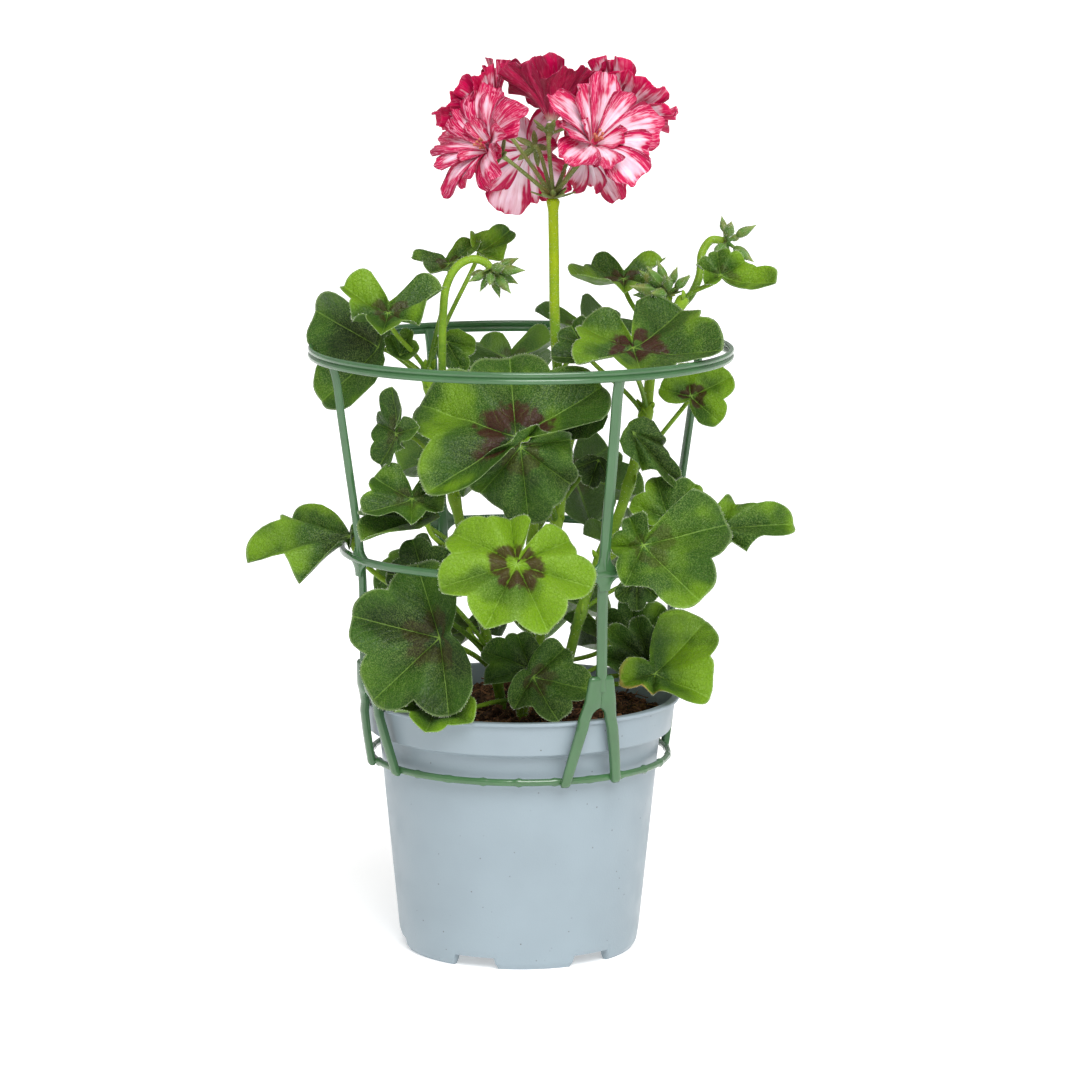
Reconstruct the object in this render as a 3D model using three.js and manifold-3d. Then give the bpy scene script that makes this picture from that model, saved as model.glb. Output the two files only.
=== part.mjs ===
// Potted ivy-leaved geranium with its clip-on support cage.
// Millimetres, +Z up. The pot's feet stand on z = 0 round the origin, and the open bloom is near x = 12.
// The viewer of the front stands at -Y. Bearings are measured from -Y towards +X, in degrees.

import * as THREE from 'three';
import { mergeVertices } from 'three/addons/utils/BufferGeometryUtils.js';
import Module from 'manifold-3d';

const wasm = await Module();
wasm.setup();

// ---------------------------------------------------------------------------------------------
// Driving dimensions
// ---------------------------------------------------------------------------------------------

const GAP = 0.3;                 // clearance between pieces that rest against each other

const POT_HEIGHT = 96.2;
const POT_LIP_RADIUS = 60;       // the outer edge of the lip: a 12 cm pot
const POT_LIP_THICKNESS = 1.6;
const POT_BAND_TOP = 58.5;       // radius of the rim band under the lip
const POT_BAND_FOOT = 56.8;
const POT_BAND_FOOT_Z = 83.5;
const POT_STEP_RADIUS = 52.7;    // radius of the body where it steps in under the band
const POT_STEP_Z = 82;
const POT_HEEL_RADIUS = 45.2;    // radius of the body just above the feet
const POT_HEEL_Z = 7;
const POT_FOOT_RADIUS = 43;
const POT_WALL = 1.5;
const POT_FLOOR_Z = 5;           // underside of the raised floor
const POT_FLOOR_THICKNESS = 1.5;
const POT_SIDES = 36;
const FOOT_RING_WIDTH = 2.1;
const FOOT_COUNT = 6;
const FOOT_BEARING = 8;          // bearing of the first foot
const NOTCH_WIDTH = 17;          // of the gaps between the feet
const NOTCH_HEIGHT = 4.4;
const CUT_LENGTH = 12;           // of the tools that cut the notches and the drain holes
const DRAIN_HOLE_RADIUS = 4;
const DRAIN_HOLE_CIRCLE = 31;
const DRAIN_HOLE_SIDES = 8;

const SOIL_TOP_Z = 89;
const SOIL_SIDES = 20;
const SOIL_ROUGHNESS = 1.3;      // height of the clods in the peat
const STEM_FOOT_Z = 60;          // where the main stems end in the soil
const STEM_HOLE_RADIUS = 2.9;
const STEM_HOLE_SIDES = 7;

const LEG_BEARINGS = [27.5, 117.5, 207.5, 297.5];
const LEG_WIDTH = 4;
const LEG_THICKNESS = 2.4;
const TOP_RING = { radius: 77.9, z: 225 };
const MIDDLE_RING = { radius: 66.6, z: 151.5 };
const LOWER_RING = { radius: 55.8, z: 73.5 };
const RING_SIDES = 32;
const CLIP_THICKNESS = 2.4;
const GUSSET_THICKNESS = 1.8;

const MAIN_STEM_RADIUS = 2.2;
const STEM_SIDES = 6;
const STEM_SAMPLES = 200;        // points on a stem's curve among which a leaf's root is looked up
const PETIOLE_RADIUS = 1.15;
const PEDUNCLE_RADIUS = 2.05;    // the stalk of the open bloom
const BUD_STALK_RADIUS = 1.6;
const PEDICEL_RADIUS = 0.65;
const KNOB_RADIUS = 2.4;         // of the swelling that a spray's buds grow from
const LEAF_THICKNESS = 0.8;
const PETAL_THICKNESS = 0.7;

// ---------------------------------------------------------------------------------------------
// Materials
// ---------------------------------------------------------------------------------------------

const plastic = (color, roughness) => new THREE.MeshStandardMaterial({ color, roughness, metalness: 0 });

const MATERIALS = {
  pot: plastic('#acbbc6', 0.45),
  cage: plastic('#5f8f6b', 0.4),
  soil: plastic('#3a281d', 0.95),
  leaf: plastic('#4f7f2c', 0.55),
  stalk: plastic('#8fa51c', 0.5),
  bud: plastic('#6f9a45', 0.6),
  petal: plastic('#d6417f', 0.5),
};

// ---------------------------------------------------------------------------------------------
// Solids: closed meshes in and out of the boolean library
// ---------------------------------------------------------------------------------------------

/** A solid from flat coordinates and triangle indices, with collapsed triangles left out. */
function solidOf(coordinates, indices) {
  const triangles = [];
  for (let i = 0; i < indices.length; i += 3) {
    const [a, b, c] = [indices[i], indices[i + 1], indices[i + 2]];
    if (a !== b && b !== c && c !== a) triangles.push(a, b, c);
  }
  const mesh = new wasm.Mesh({
    numProp: 3,
    vertProperties: new Float32Array(coordinates),
    triVerts: new Uint32Array(triangles),
  });
  return new wasm.Manifold(mesh);
}

/** A solid from a closed three.js geometry. */
function toSolid(geometry) {
  const bare = geometry.clone();
  bare.deleteAttribute('normal');
  bare.deleteAttribute('uv');
  const merged = mergeVertices(bare, 1e-4);
  const solid = solidOf(merged.attributes.position.array, merged.index.array);
  if (solid.volume() > 0) return solid;
  return solidOf(merged.attributes.position.array, [...merged.index.array].reverse());
}

/** The largest connected body of a solid, as a geometry: sealed hollows and loose scraps are dropped. */
function toGeometry(solid) {
  const bodies = solid.decompose().sort((a, b) => b.volume() - a.volume());
  const mesh = bodies[0].getMesh();
  const geometry = new THREE.BufferGeometry();
  const coordinates = [];
  for (let i = 0; i < mesh.vertProperties.length; i += mesh.numProp) {
    coordinates.push(mesh.vertProperties[i], mesh.vertProperties[i + 1], mesh.vertProperties[i + 2]);
  }
  geometry.setAttribute('position', new THREE.Float32BufferAttribute(coordinates, 3));
  geometry.setIndex([...mesh.triVerts]);
  return geometry;
}

const union = (solids) => wasm.Manifold.union(solids);
const radians = THREE.MathUtils.degToRad;

/** The point at a bearing from -Y towards +X, a radius and a height. */
function polar(bearing, radius, z) {
  const angle = radians(bearing);
  return new THREE.Vector3(radius * Math.sin(angle), -radius * Math.cos(angle), z);
}

/** A round solid from a profile of [radius, z] points. */
function turned(profile, sides) {
  const points = profile.map(([radius, z]) => new THREE.Vector2(radius, z));
  const geometry = new THREE.LatheGeometry(points, sides);
  geometry.rotateX(Math.PI / 2);
  return toSolid(geometry);
}

/** A polygon's outline with the given number of sides. */
function polygon(radius, sides) {
  const points = [];
  for (let i = 0; i < sides; i++) {
    const angle = (2 * Math.PI * i) / sides;
    points.push(new THREE.Vector2(radius * Math.cos(angle), radius * Math.sin(angle)));
  }
  return new THREE.Shape(points);
}

/** A stalk of one thickness along a curve. */
function stalk(curve, radius, sides, steps) {
  const geometry = new THREE.ExtrudeGeometry(polygon(radius, sides), { steps, extrudePath: curve });
  return toSolid(geometry);
}

/** A thin blade: an open surface of points and triangles, given its thickness along the vertex normals. */
function blade(points, triangles, rim, thickness) {
  const surface = new THREE.BufferGeometry().setFromPoints(points);
  surface.setIndex(triangles);
  surface.computeVertexNormals();
  const normals = surface.attributes.normal;
  const count = points.length;
  const coordinates = [];
  for (const side of [0.5, -0.5]) {
    for (let i = 0; i < count; i++) {
      const normal = new THREE.Vector3().fromBufferAttribute(normals, i);
      coordinates.push(...points[i].clone().addScaledVector(normal, side * thickness));
    }
  }
  const faces = [...triangles];
  for (let i = 0; i < triangles.length; i += 3) {
    faces.push(triangles[i + 2] + count, triangles[i + 1] + count, triangles[i] + count);
  }
  for (let i = 0; i < rim.length; i++) {
    const a = rim[i];
    const b = rim[(i + 1) % rim.length];
    faces.push(a, a + count, b + count, a, b + count, b);
  }
  return solidOf(coordinates, faces);
}

// ---------------------------------------------------------------------------------------------
// Pot and soil
// ---------------------------------------------------------------------------------------------

/** The thin-walled pot: lip, stepped rim band, tapered body and a foot ring cut into six feet. */
function makePot() {
  const lipFoot = POT_HEIGHT - POT_LIP_THICKNESS;
  let pot = turned([
    [0, POT_FLOOR_Z],
    [POT_FOOT_RADIUS - FOOT_RING_WIDTH, POT_FLOOR_Z],
    [POT_FOOT_RADIUS - FOOT_RING_WIDTH, 0],
    [POT_FOOT_RADIUS, 0],
    [POT_FOOT_RADIUS + 1.4, 2.2],
    [POT_HEEL_RADIUS, POT_HEEL_Z],
    [POT_STEP_RADIUS, POT_STEP_Z],
    [POT_BAND_FOOT, POT_BAND_FOOT_Z],
    [POT_BAND_TOP, lipFoot],
    [POT_LIP_RADIUS, lipFoot + 0.3],
    [POT_LIP_RADIUS, POT_HEIGHT],
    [POT_BAND_TOP - POT_WALL, POT_HEIGHT],
    [POT_BAND_FOOT - POT_WALL, POT_BAND_FOOT_Z + POT_WALL],
    [POT_STEP_RADIUS - POT_WALL, POT_STEP_Z + POT_WALL],
    [POT_HEEL_RADIUS - POT_WALL, POT_FLOOR_Z + POT_FLOOR_THICKNESS],
    [0, POT_FLOOR_Z + POT_FLOOR_THICKNESS],
  ], POT_SIDES);
  const pitch = 360 / FOOT_COUNT;
  for (let i = 0; i < FOOT_COUNT; i++) {
    const bearing = FOOT_BEARING + pitch * (i + 0.5);
    const notch = new THREE.BoxGeometry(NOTCH_WIDTH, CUT_LENGTH, 2 * NOTCH_HEIGHT);
    notch.rotateZ(radians(bearing));
    notch.translate(...polar(bearing, POT_FOOT_RADIUS, 0));
    pot = pot.subtract(toSolid(notch));
    const [radius, sides] = [DRAIN_HOLE_RADIUS, DRAIN_HOLE_SIDES];
    const hole = new THREE.CylinderGeometry(radius, radius, CUT_LENGTH, sides);
    hole.rotateX(Math.PI / 2);
    hole.translate(...polar(bearing, DRAIN_HOLE_CIRCLE, POT_FLOOR_Z));
    pot = pot.subtract(toSolid(hole));
  }
  return pot;
}

/** The height of the peat's clods at a place, a sum of waves. */
function clods(x, y) {
  const coarse = Math.sin(0.31 * x + 1.3) * Math.cos(0.27 * y - 0.4);
  const fine = Math.sin(0.53 * x - 0.47 * y) + 0.6 * Math.cos(0.71 * y + 0.38 * x);
  return SOIL_ROUGHNESS * (0.6 * coarse + 0.3 * fine);
}

/** The peat: it fills the pot to its wall, with an uneven top and a plain hole for each main stem. */
function makeSoil() {
  const inside = (radius) => radius - POT_WALL - GAP - 0.2;
  const profile = [
    [0, POT_FLOOR_Z + POT_FLOOR_THICKNESS + GAP],
    [inside(POT_HEEL_RADIUS), POT_FLOOR_Z + POT_FLOOR_THICKNESS + GAP],
    [inside(POT_STEP_RADIUS), POT_STEP_Z + POT_WALL],
    [inside(POT_BAND_FOOT), POT_BAND_FOOT_Z + POT_WALL + 0.6],
    [inside(POT_BAND_FOOT) + 0.1, SOIL_TOP_Z - 1.6],
    [45, SOIL_TOP_Z - 0.4],
    [35, SOIL_TOP_Z],
    [25, SOIL_TOP_Z + 0.6],
    [13, SOIL_TOP_Z + 1],
    [0, SOIL_TOP_Z + 1],
  ].map(([radius, z]) => new THREE.Vector2(radius, z));
  const geometry = new THREE.LatheGeometry(profile, SOIL_SIDES);
  geometry.rotateX(Math.PI / 2);
  const position = geometry.attributes.position;
  for (let i = 0; i < position.count; i++) {
    const [x, y, z] = [position.getX(i), position.getY(i), position.getZ(i)];
    if (z > SOIL_TOP_Z - 2) position.setZ(i, z + clods(x, y));
  }
  let soil = toSolid(geometry);
  const floor = STEM_FOOT_Z - GAP;
  for (const [[x, y]] of Object.values(STEMS)) {
    const height = 2 * (SOIL_TOP_Z - floor);
    const hole = new THREE.CylinderGeometry(STEM_HOLE_RADIUS, STEM_HOLE_RADIUS, height, STEM_HOLE_SIDES);
    hole.rotateX(Math.PI / 2);
    hole.translate(x, y, floor + height / 2);
    soil = soil.subtract(toSolid(hole));
  }
  return soil;
}

// ---------------------------------------------------------------------------------------------
// Support cage
// ---------------------------------------------------------------------------------------------

/** A ring round the Z axis from a section of [radial, vertical] offsets. */
function ring({ radius, z }, section) {
  const profile = section.map(([across, up]) => [radius + across, z + up]);
  return turned([...profile, profile[0]], RING_SIDES);
}

/** A straight extrusion of a leg's side view, [radius, z] points, to the leg's width. */
function legPlate(outline, bearing) {
  const shape = new THREE.Shape(outline.map(([radius, z]) => new THREE.Vector2(radius, z)));
  const geometry = new THREE.ExtrudeGeometry(shape, { depth: LEG_WIDTH, bevelEnabled: false });
  geometry.translate(0, 0, -LEG_WIDTH / 2);
  geometry.rotateX(Math.PI / 2);
  geometry.rotateZ(radians(bearing - 90));
  return toSolid(geometry);
}

/** A front view of [across, z] points, thickened and wrapped round the Z axis at a radius for each z. */
function wrappedPlate(outline, radiusAt, thickness, bearing) {
  const shape = new THREE.Shape(outline.map(([across, z]) => new THREE.Vector2(across, z)));
  const geometry = new THREE.ExtrudeGeometry(shape, { depth: thickness, bevelEnabled: false });
  const position = geometry.attributes.position;
  for (let i = 0; i < position.count; i++) {
    const radius = radiusAt(position.getY(i)) + position.getZ(i);
    const turn = THREE.MathUtils.radToDeg(position.getX(i) / POT_LIP_RADIUS);
    position.setXYZ(i, ...polar(bearing + turn, radius, position.getY(i)));
  }
  return toSolid(geometry);
}

/** Straight lines between [z, radius] points, as a function of z. */
function alongZ(points) {
  return (z) => {
    const next = Math.max(1, points.findIndex(([height], i) => i > 0 && height <= z));
    const [z0, r0] = points[next - 1];
    const [z1, r1] = points[next];
    return THREE.MathUtils.mapLinear(z, z0, z1, r0, r1);
  };
}

// Side views of a leg's centre line and of a clip's inner face, as [z, radius] points from the top down.
const LEG_CENTRE = [
  [224.5, 77.4], [218, 75.6], [206, 73.9], [156, 66.4], [147, 65.5], [138, 65.1], [108, 64.8],
];
const CLIP_INNER = [
  [114, 63.5], [104, 62.7], [99.5, 61.2], [97, 60.6], [93.5, 60.6], [84, 58.8], [72, 56.2],
];

/** A forked clip: shoulders, a rounded crotch above the lip, and two prongs that grip the rim outside. */
function clipOutline() {
  const half = [
    [4.3, 113.6], [5.8, 104], [7.4, 97], [8.2, 93.5], [10.3, 84], [12.9, 72],
    [9.1, 72], [6.3, 84], [4, 93.5], [3.2, 97], [1.2, 101],
  ];
  const mirrored = half.map(([across, z]) => [-across, z]).reverse();
  return [...half, ...mirrored];
}

/** The one-piece cage: three rings, four legs with gussets, and a forked clip under each leg. */
function makeCage() {
  const twinBead = [[-1, -1.9], [0.6, -2.2], [1.4, -1.2], [0.7, 0], [1.4, 1.2], [0.6, 2.2], [-1, 1.9]];
  const band = [[-1.1, -1.5], [1.1, -1.5], [1.1, 1.5], [-1.1, 1.5]];
  const hoop = [[-1.1, -1.25], [1.1, -1.25], [1.1, 1.25], [-1.1, 1.25]];
  const parts = [ring(TOP_RING, twinBead), ring(MIDDLE_RING, band), ring(LOWER_RING, hoop)];

  const legSide = (out) => LEG_CENTRE.map(([z, radius]) => [radius + (out * LEG_THICKNESS) / 2, z]);
  const legOutline = [...legSide(-1), ...legSide(1).reverse()];
  const gusset = [
    [-7, 150.4], [-2.2, 146], [2.2, 146], [7, 150.4], [7, 152.6], [2.2, 157], [-2.2, 157], [-7, 152.6],
  ];
  const gussetRadius = () => MIDDLE_RING.radius - GUSSET_THICKNESS / 2;
  const clipRadius = alongZ(CLIP_INNER);
  for (const bearing of LEG_BEARINGS) {
    parts.push(legPlate(legOutline, bearing));
    parts.push(wrappedPlate(gusset, gussetRadius, GUSSET_THICKNESS, bearing));
    parts.push(wrappedPlate(clipOutline(), clipRadius, CLIP_THICKNESS, bearing));
  }
  return union(parts);
}

// ---------------------------------------------------------------------------------------------
// Leaves
// ---------------------------------------------------------------------------------------------

// Each main stem's centre line, from its foot in the soil upwards.
const STEMS = {
  left: [
    [-7, -8, STEM_FOOT_Z], [-7, -8, 94], [-15.6, -12, 133], [-24.2, -14, 171], [-31, -12, 201],
    [-34.6, -10, 220],
  ],
  centre: [[5, 5, STEM_FOOT_Z], [5, 5, 94], [9.3, 4, 130], [14.7, 2, 169], [18.3, 0, 195], [20, -2, 206]],
  right: [
    [15, -6, STEM_FOOT_Z], [15, -6, 94], [24.2, -8, 133], [37, -8, 166], [43, -6, 187], [46.5, -3, 203],
    [50, 0, 226], [61, 2, 246],
  ],
  front: [[1, -20, STEM_FOOT_Z], [1, -20, 94], [0, -22, 104]],
  back: [[6, 24, STEM_FOOT_Z], [6, 24, 94], [4, 27, 140], [8, 28, 180], [12, 26, 212]],
};

/**
 * The leaves.
 * stem, root: the main stem, and the height where the leaf stalk leaves it.
 * at: the point where the stalk meets the blade.
 * size: length of a lobe of 1.
 * face, tilt: bearing and elevation that the upper face looks to.
 * tip: turn of the middle lobe, clockwise from straight up as seen by one who faces the blade.
 * sweep: angle that the lobes fill. lobes: their lengths, anticlockwise end first.
 * cup, fold, foldTurn, pleat, wave, depth: shape of the blade.
 * under: how far below the blade its stalk comes in, as a share of the stalk's reach.
 */
const LEAVES = [
  { stem: 'left', root: 212, at: [-52.5, -7, 227], size: 29, face: -30, tilt: 10, tip: 292,
    sweep: 215, lobes: [0.98, 1.1, 0.6], cup: 0.05, fold: 0.28, depth: 0.3 },
  { stem: 'left', root: 217, at: [-48.5, -26, 242], size: 20, face: 0, tilt: 62, tip: 186,
    sweep: 300, lobes: [1.08, 0.72, 0.92, 0.7, 1], cup: 0.36, pleat: 0.15 },
  { stem: 'left', root: 215, at: [-44.5, -14, 225], size: 10, face: -10, tilt: 22, tip: 20,
    sweep: 150, lobes: [0.8, 1, 0.8], cup: 0.3, fold: 0.3 },
  { stem: 'left', root: 218, at: [-26.5, 4, 257], size: 14, face: 0, tilt: 62, tip: 305,
    sweep: 250, lobes: [0.95, 1.02, 0.3, 1], cup: 0.25, fold: 0.1 },
  { stem: 'left', root: 219, at: [-15.4, 9, 261], size: 14, face: 20, tilt: 45, tip: 60,
    sweep: 180, lobes: [0.6, 1.08, 0.65], cup: 0.25, fold: 0.1 },
  { stem: 'left', root: 172, at: [-45.2, -38, 199.3], size: 15, face: -48, tilt: 4, tip: 212,
    sweep: 350, lobes: [0.8, 0.4, 0.98, 0.8, 1.12], cup: 0.12, depth: 0.28 },
  { stem: 'left', root: 110, at: [-62.8, -12, 157], size: 39.5, face: -8, tilt: 62, tip: 260,
    sweep: 200, lobes: [0.13, 0.66, 1, 0.74, 0.16], cup: -0.1, fold: 0.05 },
  { stem: 'left', root: 146, at: [-39.2, -46, 176.5], size: 20, face: 0, tilt: 55, tip: 180,
    sweep: 320, lobes: [0.7, 0.62, 0.6, 0.98, 0.88], cup: 0.16 },
  { stem: 'left', root: 143, at: [-34, -36, 168], size: 28, face: 0, tilt: 70, tip: 256,
    sweep: 70, lobes: [1, 0.9], cup: 0.1 },
  { stem: 'left', root: 205, at: [-27.9, 8, 227.5], size: 14, face: 0, tilt: 25, tip: 126,
    sweep: 100, lobes: [0.8, 1], cup: -0.1, fold: 0.2 },

  { stem: 'centre', root: 172, at: [-1.5, -44, 199], size: 40, face: -4, tilt: 40, tip: 294,
    sweep: 295, lobes: [0.12, 0.96, 1, 0.9, 0.97], cup: -0.02, fold: 0.05 },
  { stem: 'centre', root: 160, at: [0.1, -47, 196], size: 31, face: 4, tilt: -4, tip: 130,
    sweep: 215, lobes: [0.32, 0.62, 0.82, 0.98, 0.78], cup: -0.1, fold: -0.2, foldTurn: 43, depth: 0.1 },
  { stem: 'right', root: 201, at: [24.5, -13, 225], size: 15, face: -35, tilt: 42, tip: 315,
    sweep: 220, lobes: [0.8, 1, 0.9], cup: 0.3, fold: 0.4 },
  { stem: 'centre', root: 136, at: [-0.9, -71, 157], size: 31, face: 0, tilt: 38, tip: 205,
    sweep: 344, lobes: [0.72, 0.93, 0.9, 0.85, 0.93, 0.9, 0.64], cup: -0.04, pleat: 0.1, depth: 0.15 },
  { stem: 'left', root: 104, at: [-29, -50, 126], size: 35, face: -10, tilt: 20, tip: 254,
    sweep: 224, lobes: [0.82, 0.96, 0.98, 0.86], cup: 0 },
  { stem: 'centre', root: 194, at: [29, -18, 206], size: 22, face: -10, tilt: 10, tip: 262,
    sweep: 70, lobes: [1, 0.9], fold: 0.2 },
  { stem: 'centre', root: 165, at: [29, -4, 185], size: 11, face: -10, tilt: -10, tip: 200,
    sweep: 160, lobes: [0.8, 1, 0.8], fold: 0.5 },

  { stem: 'right', root: 203, at: [41, -30, 230], size: 30, face: 4, tilt: 66, tip: 174,
    sweep: 335, lobes: [1.02, 1.1, 0.8, 0.82, 0.76], cup: 0.2 },
  { stem: 'right', root: 226, at: [38.1, 14, 250.5], size: 21, face: 0, tilt: 66, tip: 180,
    sweep: 300, lobes: [0.8, 0.5, 0.6, 1.08, 0.68], cup: 0.42 },
  { stem: 'right', root: 244, at: [73.6, -5, 254], size: 18, face: 10, tilt: 45, tip: 0,
    sweep: 300, lobes: [0.42, 0.55, 0.58, 0.62, 1.15], cup: 0.45 },
  { stem: 'right', root: 176, at: [63.4, 8, 207.2], size: 17, face: 5, tilt: 24, tip: 30,
    sweep: 280, lobes: [0.72, 0.78, 1, 0.88], cup: 0.12, fold: 0.1, depth: 0.24 },
  { stem: 'right', root: 148, at: [44.7, -54, 161.2], size: 33, face: 4, tilt: 26, tip: 205,
    sweep: 325, lobes: [0.98, 0.92, 0.5, 0.36, 0.35], cup: 0.04, fold: 0.3, foldTurn: -130 },
  { stem: 'right', root: 152, at: [54.3, -28, 166.8], size: 17.5, face: 0, tilt: 28, tip: 345,
    sweep: 160, lobes: [0.85, 0.95, 0.95], cup: 0.1, fold: 0.15 },
  { stem: 'right', root: 156, at: [74, -10, 160.2], size: 29, face: 10, tilt: 40, tip: 110,
    sweep: 200, lobes: [0.45, 1, 0.45, 0.3], cup: 0.05, fold: 0.1, under: 0.04 },
  { stem: 'right', root: 190, at: [41, -28, 199], size: 27, face: 20, tilt: 12, tip: 138,
    sweep: 80, lobes: [0.55, 1, 0.55], cup: -0.1, fold: -0.2 },
  { stem: 'right', root: 96, at: [50.1, -22, 107.5], size: 30, face: 6, tilt: 42, tip: 152,
    sweep: 288, lobes: [0.97, 0.74, 0.28, 0.45], cup: 0.15 },
  { stem: 'right', root: 128, at: [43.4, -14, 141], size: 11, face: 0, tilt: 0, tip: 180,
    sweep: 150, lobes: [0.9, 1, 0.9] },
  { stem: 'right', root: 97, at: [49.2, -14, 108.2], size: 22, face: 5, tilt: 25, tip: 314,
    sweep: 90, lobes: [0.9, 1, 0.9] },
  { stem: 'right', root: 98, at: [44.5, 10, 112], size: 20, face: 0, tilt: 22, tip: 350,
    sweep: 120, lobes: [0.95, 1, 0.9] },

  { stem: 'left', root: 112, at: [-35, -30, 144], size: 16, face: -10, tilt: 16, tip: 340,
    sweep: 190, lobes: [0.9, 1, 0.9] },
  { stem: 'front', root: 96, at: [-30.4, -49, 101.3], size: 19, face: -5, tilt: 58, tip: 187,
    sweep: 300, lobes: [0.62, 0.95, 0.95, 0.84, 0.5], cup: 0.25, wave: 0.12 },
  { stem: 'front', root: 101, at: [4, -31, 111], size: 20.5, face: 0, tilt: 48, tip: 300,
    sweep: 130, lobes: [0.85, 1, 0.85], cup: -0.05, wave: 0.1 },
  { stem: 'front', root: 100, at: [5, -37, 109.1], size: 23, face: 6, tilt: 38, tip: 130,
    sweep: 220, lobes: [0.72, 0.97, 0.92, 0.6], cup: 0.05, fold: 0.1, wave: 0.1 },

  { stem: 'back', root: 160, at: [-18, 40, 186], size: 31, face: 195, tilt: 38, tip: 180,
    sweep: 310, lobes: [0.85, 1, 0.95, 1, 0.9], cup: 0.05 },
  { stem: 'back', root: 148, at: [20, 38, 174], size: 28, face: 165, tilt: 32, tip: 190,
    sweep: 310, lobes: [0.9, 1, 0.9, 1, 0.8], cup: 0 },
  { stem: 'back', root: 112, at: [-34, 28, 139], size: 25, face: 215, tilt: 30, tip: 170,
    sweep: 300, lobes: [0.8, 1, 1, 0.95, 0.8], cup: 0.05 },
  { stem: 'back', root: 106, at: [6, 69, 123], size: 30, face: 178, tilt: 42, tip: 185,
    sweep: 320, lobes: [0.8, 0.95, 0.9, 1, 0.85], cup: -0.05 },
  { stem: 'back', root: 122, at: [40, 26, 148], size: 23, face: 140, tilt: 34, tip: 200,
    sweep: 300, lobes: [0.85, 1, 0.95, 0.9, 0.8], cup: 0.08 },
  { stem: 'back', root: 97, at: [-20, 36, 114], size: 19, face: 200, tilt: 50, tip: 180,
    sweep: 300, lobes: [0.9, 1, 0.9, 1, 0.9], cup: 0.15 },
  { stem: 'back', root: 98, at: [34, 42, 108], size: 22, face: 150, tilt: 48, tip: 170,
    sweep: 300, lobes: [0.9, 0.9, 1, 0.9, 1], cup: 0.15 },
  { stem: 'back', root: 204, at: [24, 32, 230], size: 22, face: 150, tilt: 56, tip: 190,
    sweep: 310, lobes: [0.9, 1, 0.9, 1, 0.9], cup: 0.2 },
  { stem: 'back', root: 200, at: [-4, 34, 218], size: 20, face: 200, tilt: 48, tip: 180,
    sweep: 310, lobes: [0.9, 1, 0.9, 1, 0.9], cup: 0.2 },
];

const LOBE_POWER = 2.6;          // how blunt a lobe is: its edge falls as this power of the way to the notch
const SMALL_LEAF = 16;           // leaves up to this size are a plain fan
const LARGE_LEAF = 36;           // leaves from this size up get finer lobes
const INNER_RING = 0.55;         // where the ring of points inside the blade lies
const SINUS_RADIUS = 0.14;       // how near the edge comes to the stalk between the first and last lobe

/** The blade's edge at an angle from the middle lobe: its radius at a size of 1, and its way to a notch. */
function leafEdge(angle, { sweep, lobes, depth = 0.2 }) {
  const half = radians(sweep) / 2;
  const width = (2 * half) / lobes.length;
  const along = (angle + half) / width;
  const index = THREE.MathUtils.clamp(Math.floor(along), 0, lobes.length - 1);
  const notch = THREE.MathUtils.clamp(2 * (along - index) - 1, -1, 1);
  const other = THREE.MathUtils.clamp(index + (notch > 0 ? 1 : -1), 0, lobes.length - 1);
  if (Math.abs(angle) <= half) {
    const share = 0.5 * Math.abs(notch) ** 3;
    const length = lobes[index] * (1 - share) + lobes[other] * share;
    return [length * (1 - depth * Math.abs(notch) ** LOBE_POWER), notch];
  }
  const left = (1 - (Math.abs(angle) - half) / (Math.PI - half)) ** 2;
  const end = (angle > 0 ? lobes.at(-1) : lobes[0]) * (1 - depth);
  return [end * left + SINUS_RADIUS * (1 - left), notch];
}

/** Frame of a blade: out of its upper face, along its middle lobe, and across. */
function leafFrame({ face, tilt, tip }) {
  const normal = polar(face, Math.cos(radians(tilt)), Math.sin(radians(tilt)));
  const up = polar(face, -Math.sin(radians(tilt)), Math.cos(radians(tilt)));
  const right = new THREE.Vector3().crossVectors(up, normal);
  const along = up.multiplyScalar(Math.cos(radians(tip))).addScaledVector(right, Math.sin(radians(tip)));
  return { normal, along, across: new THREE.Vector3().crossVectors(along, normal) };
}

/** A point of the blade, at a share of the way to the edge and an angle from the middle lobe. */
function leafPoint(leaf, frame, share, angle) {
  const { size, cup = 0.12, fold = 0, pleat = 0.1, wave = 0.05, foldTurn = 0 } = leaf;
  const [edge, notch] = leafEdge(angle, leaf);
  const radius = size * edge * share;
  const [x, y] = [radius * Math.sin(angle), radius * Math.cos(angle)];
  const turn = radians(foldTurn);
  const offFold = x * Math.cos(turn) - y * Math.sin(turn);
  const height = cup * size * (edge * share) ** 2
    + pleat * size * share ** 1.2 * (Math.abs(notch) ** 1.6 - 0.35)
    + wave * size * share ** 3 * Math.sin(3 * angle)
    + fold * (Math.hypot(offFold, 0.1 * size) - 0.1 * size);
  return new THREE.Vector3(...leaf.at)
    .addScaledVector(frame.across, x)
    .addScaledVector(frame.along, y)
    .addScaledVector(frame.normal, height);
}

/** Angles round the blade: evenly over each lobe, and an even number in all with those across the sinus. */
function bladeAngles({ sweep, lobes, size }) {
  const half = radians(sweep) / 2;
  const steps = lobes.length * (size >= LARGE_LEAF ? 4 : 3);
  const across = sweep < 260 ? 3 : 1;
  const extra = across + ((steps + 1 + across) % 2);
  const angles = [];
  for (let i = 0; i <= steps; i++) angles.push(-half + (2 * half * i) / steps);
  for (let i = 1; i <= extra; i++) {
    const angle = half + ((2 * Math.PI - 2 * half) * i) / (extra + 1);
    angles.push(angle > Math.PI ? angle - 2 * Math.PI : angle);
  }
  return angles;
}

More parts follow.
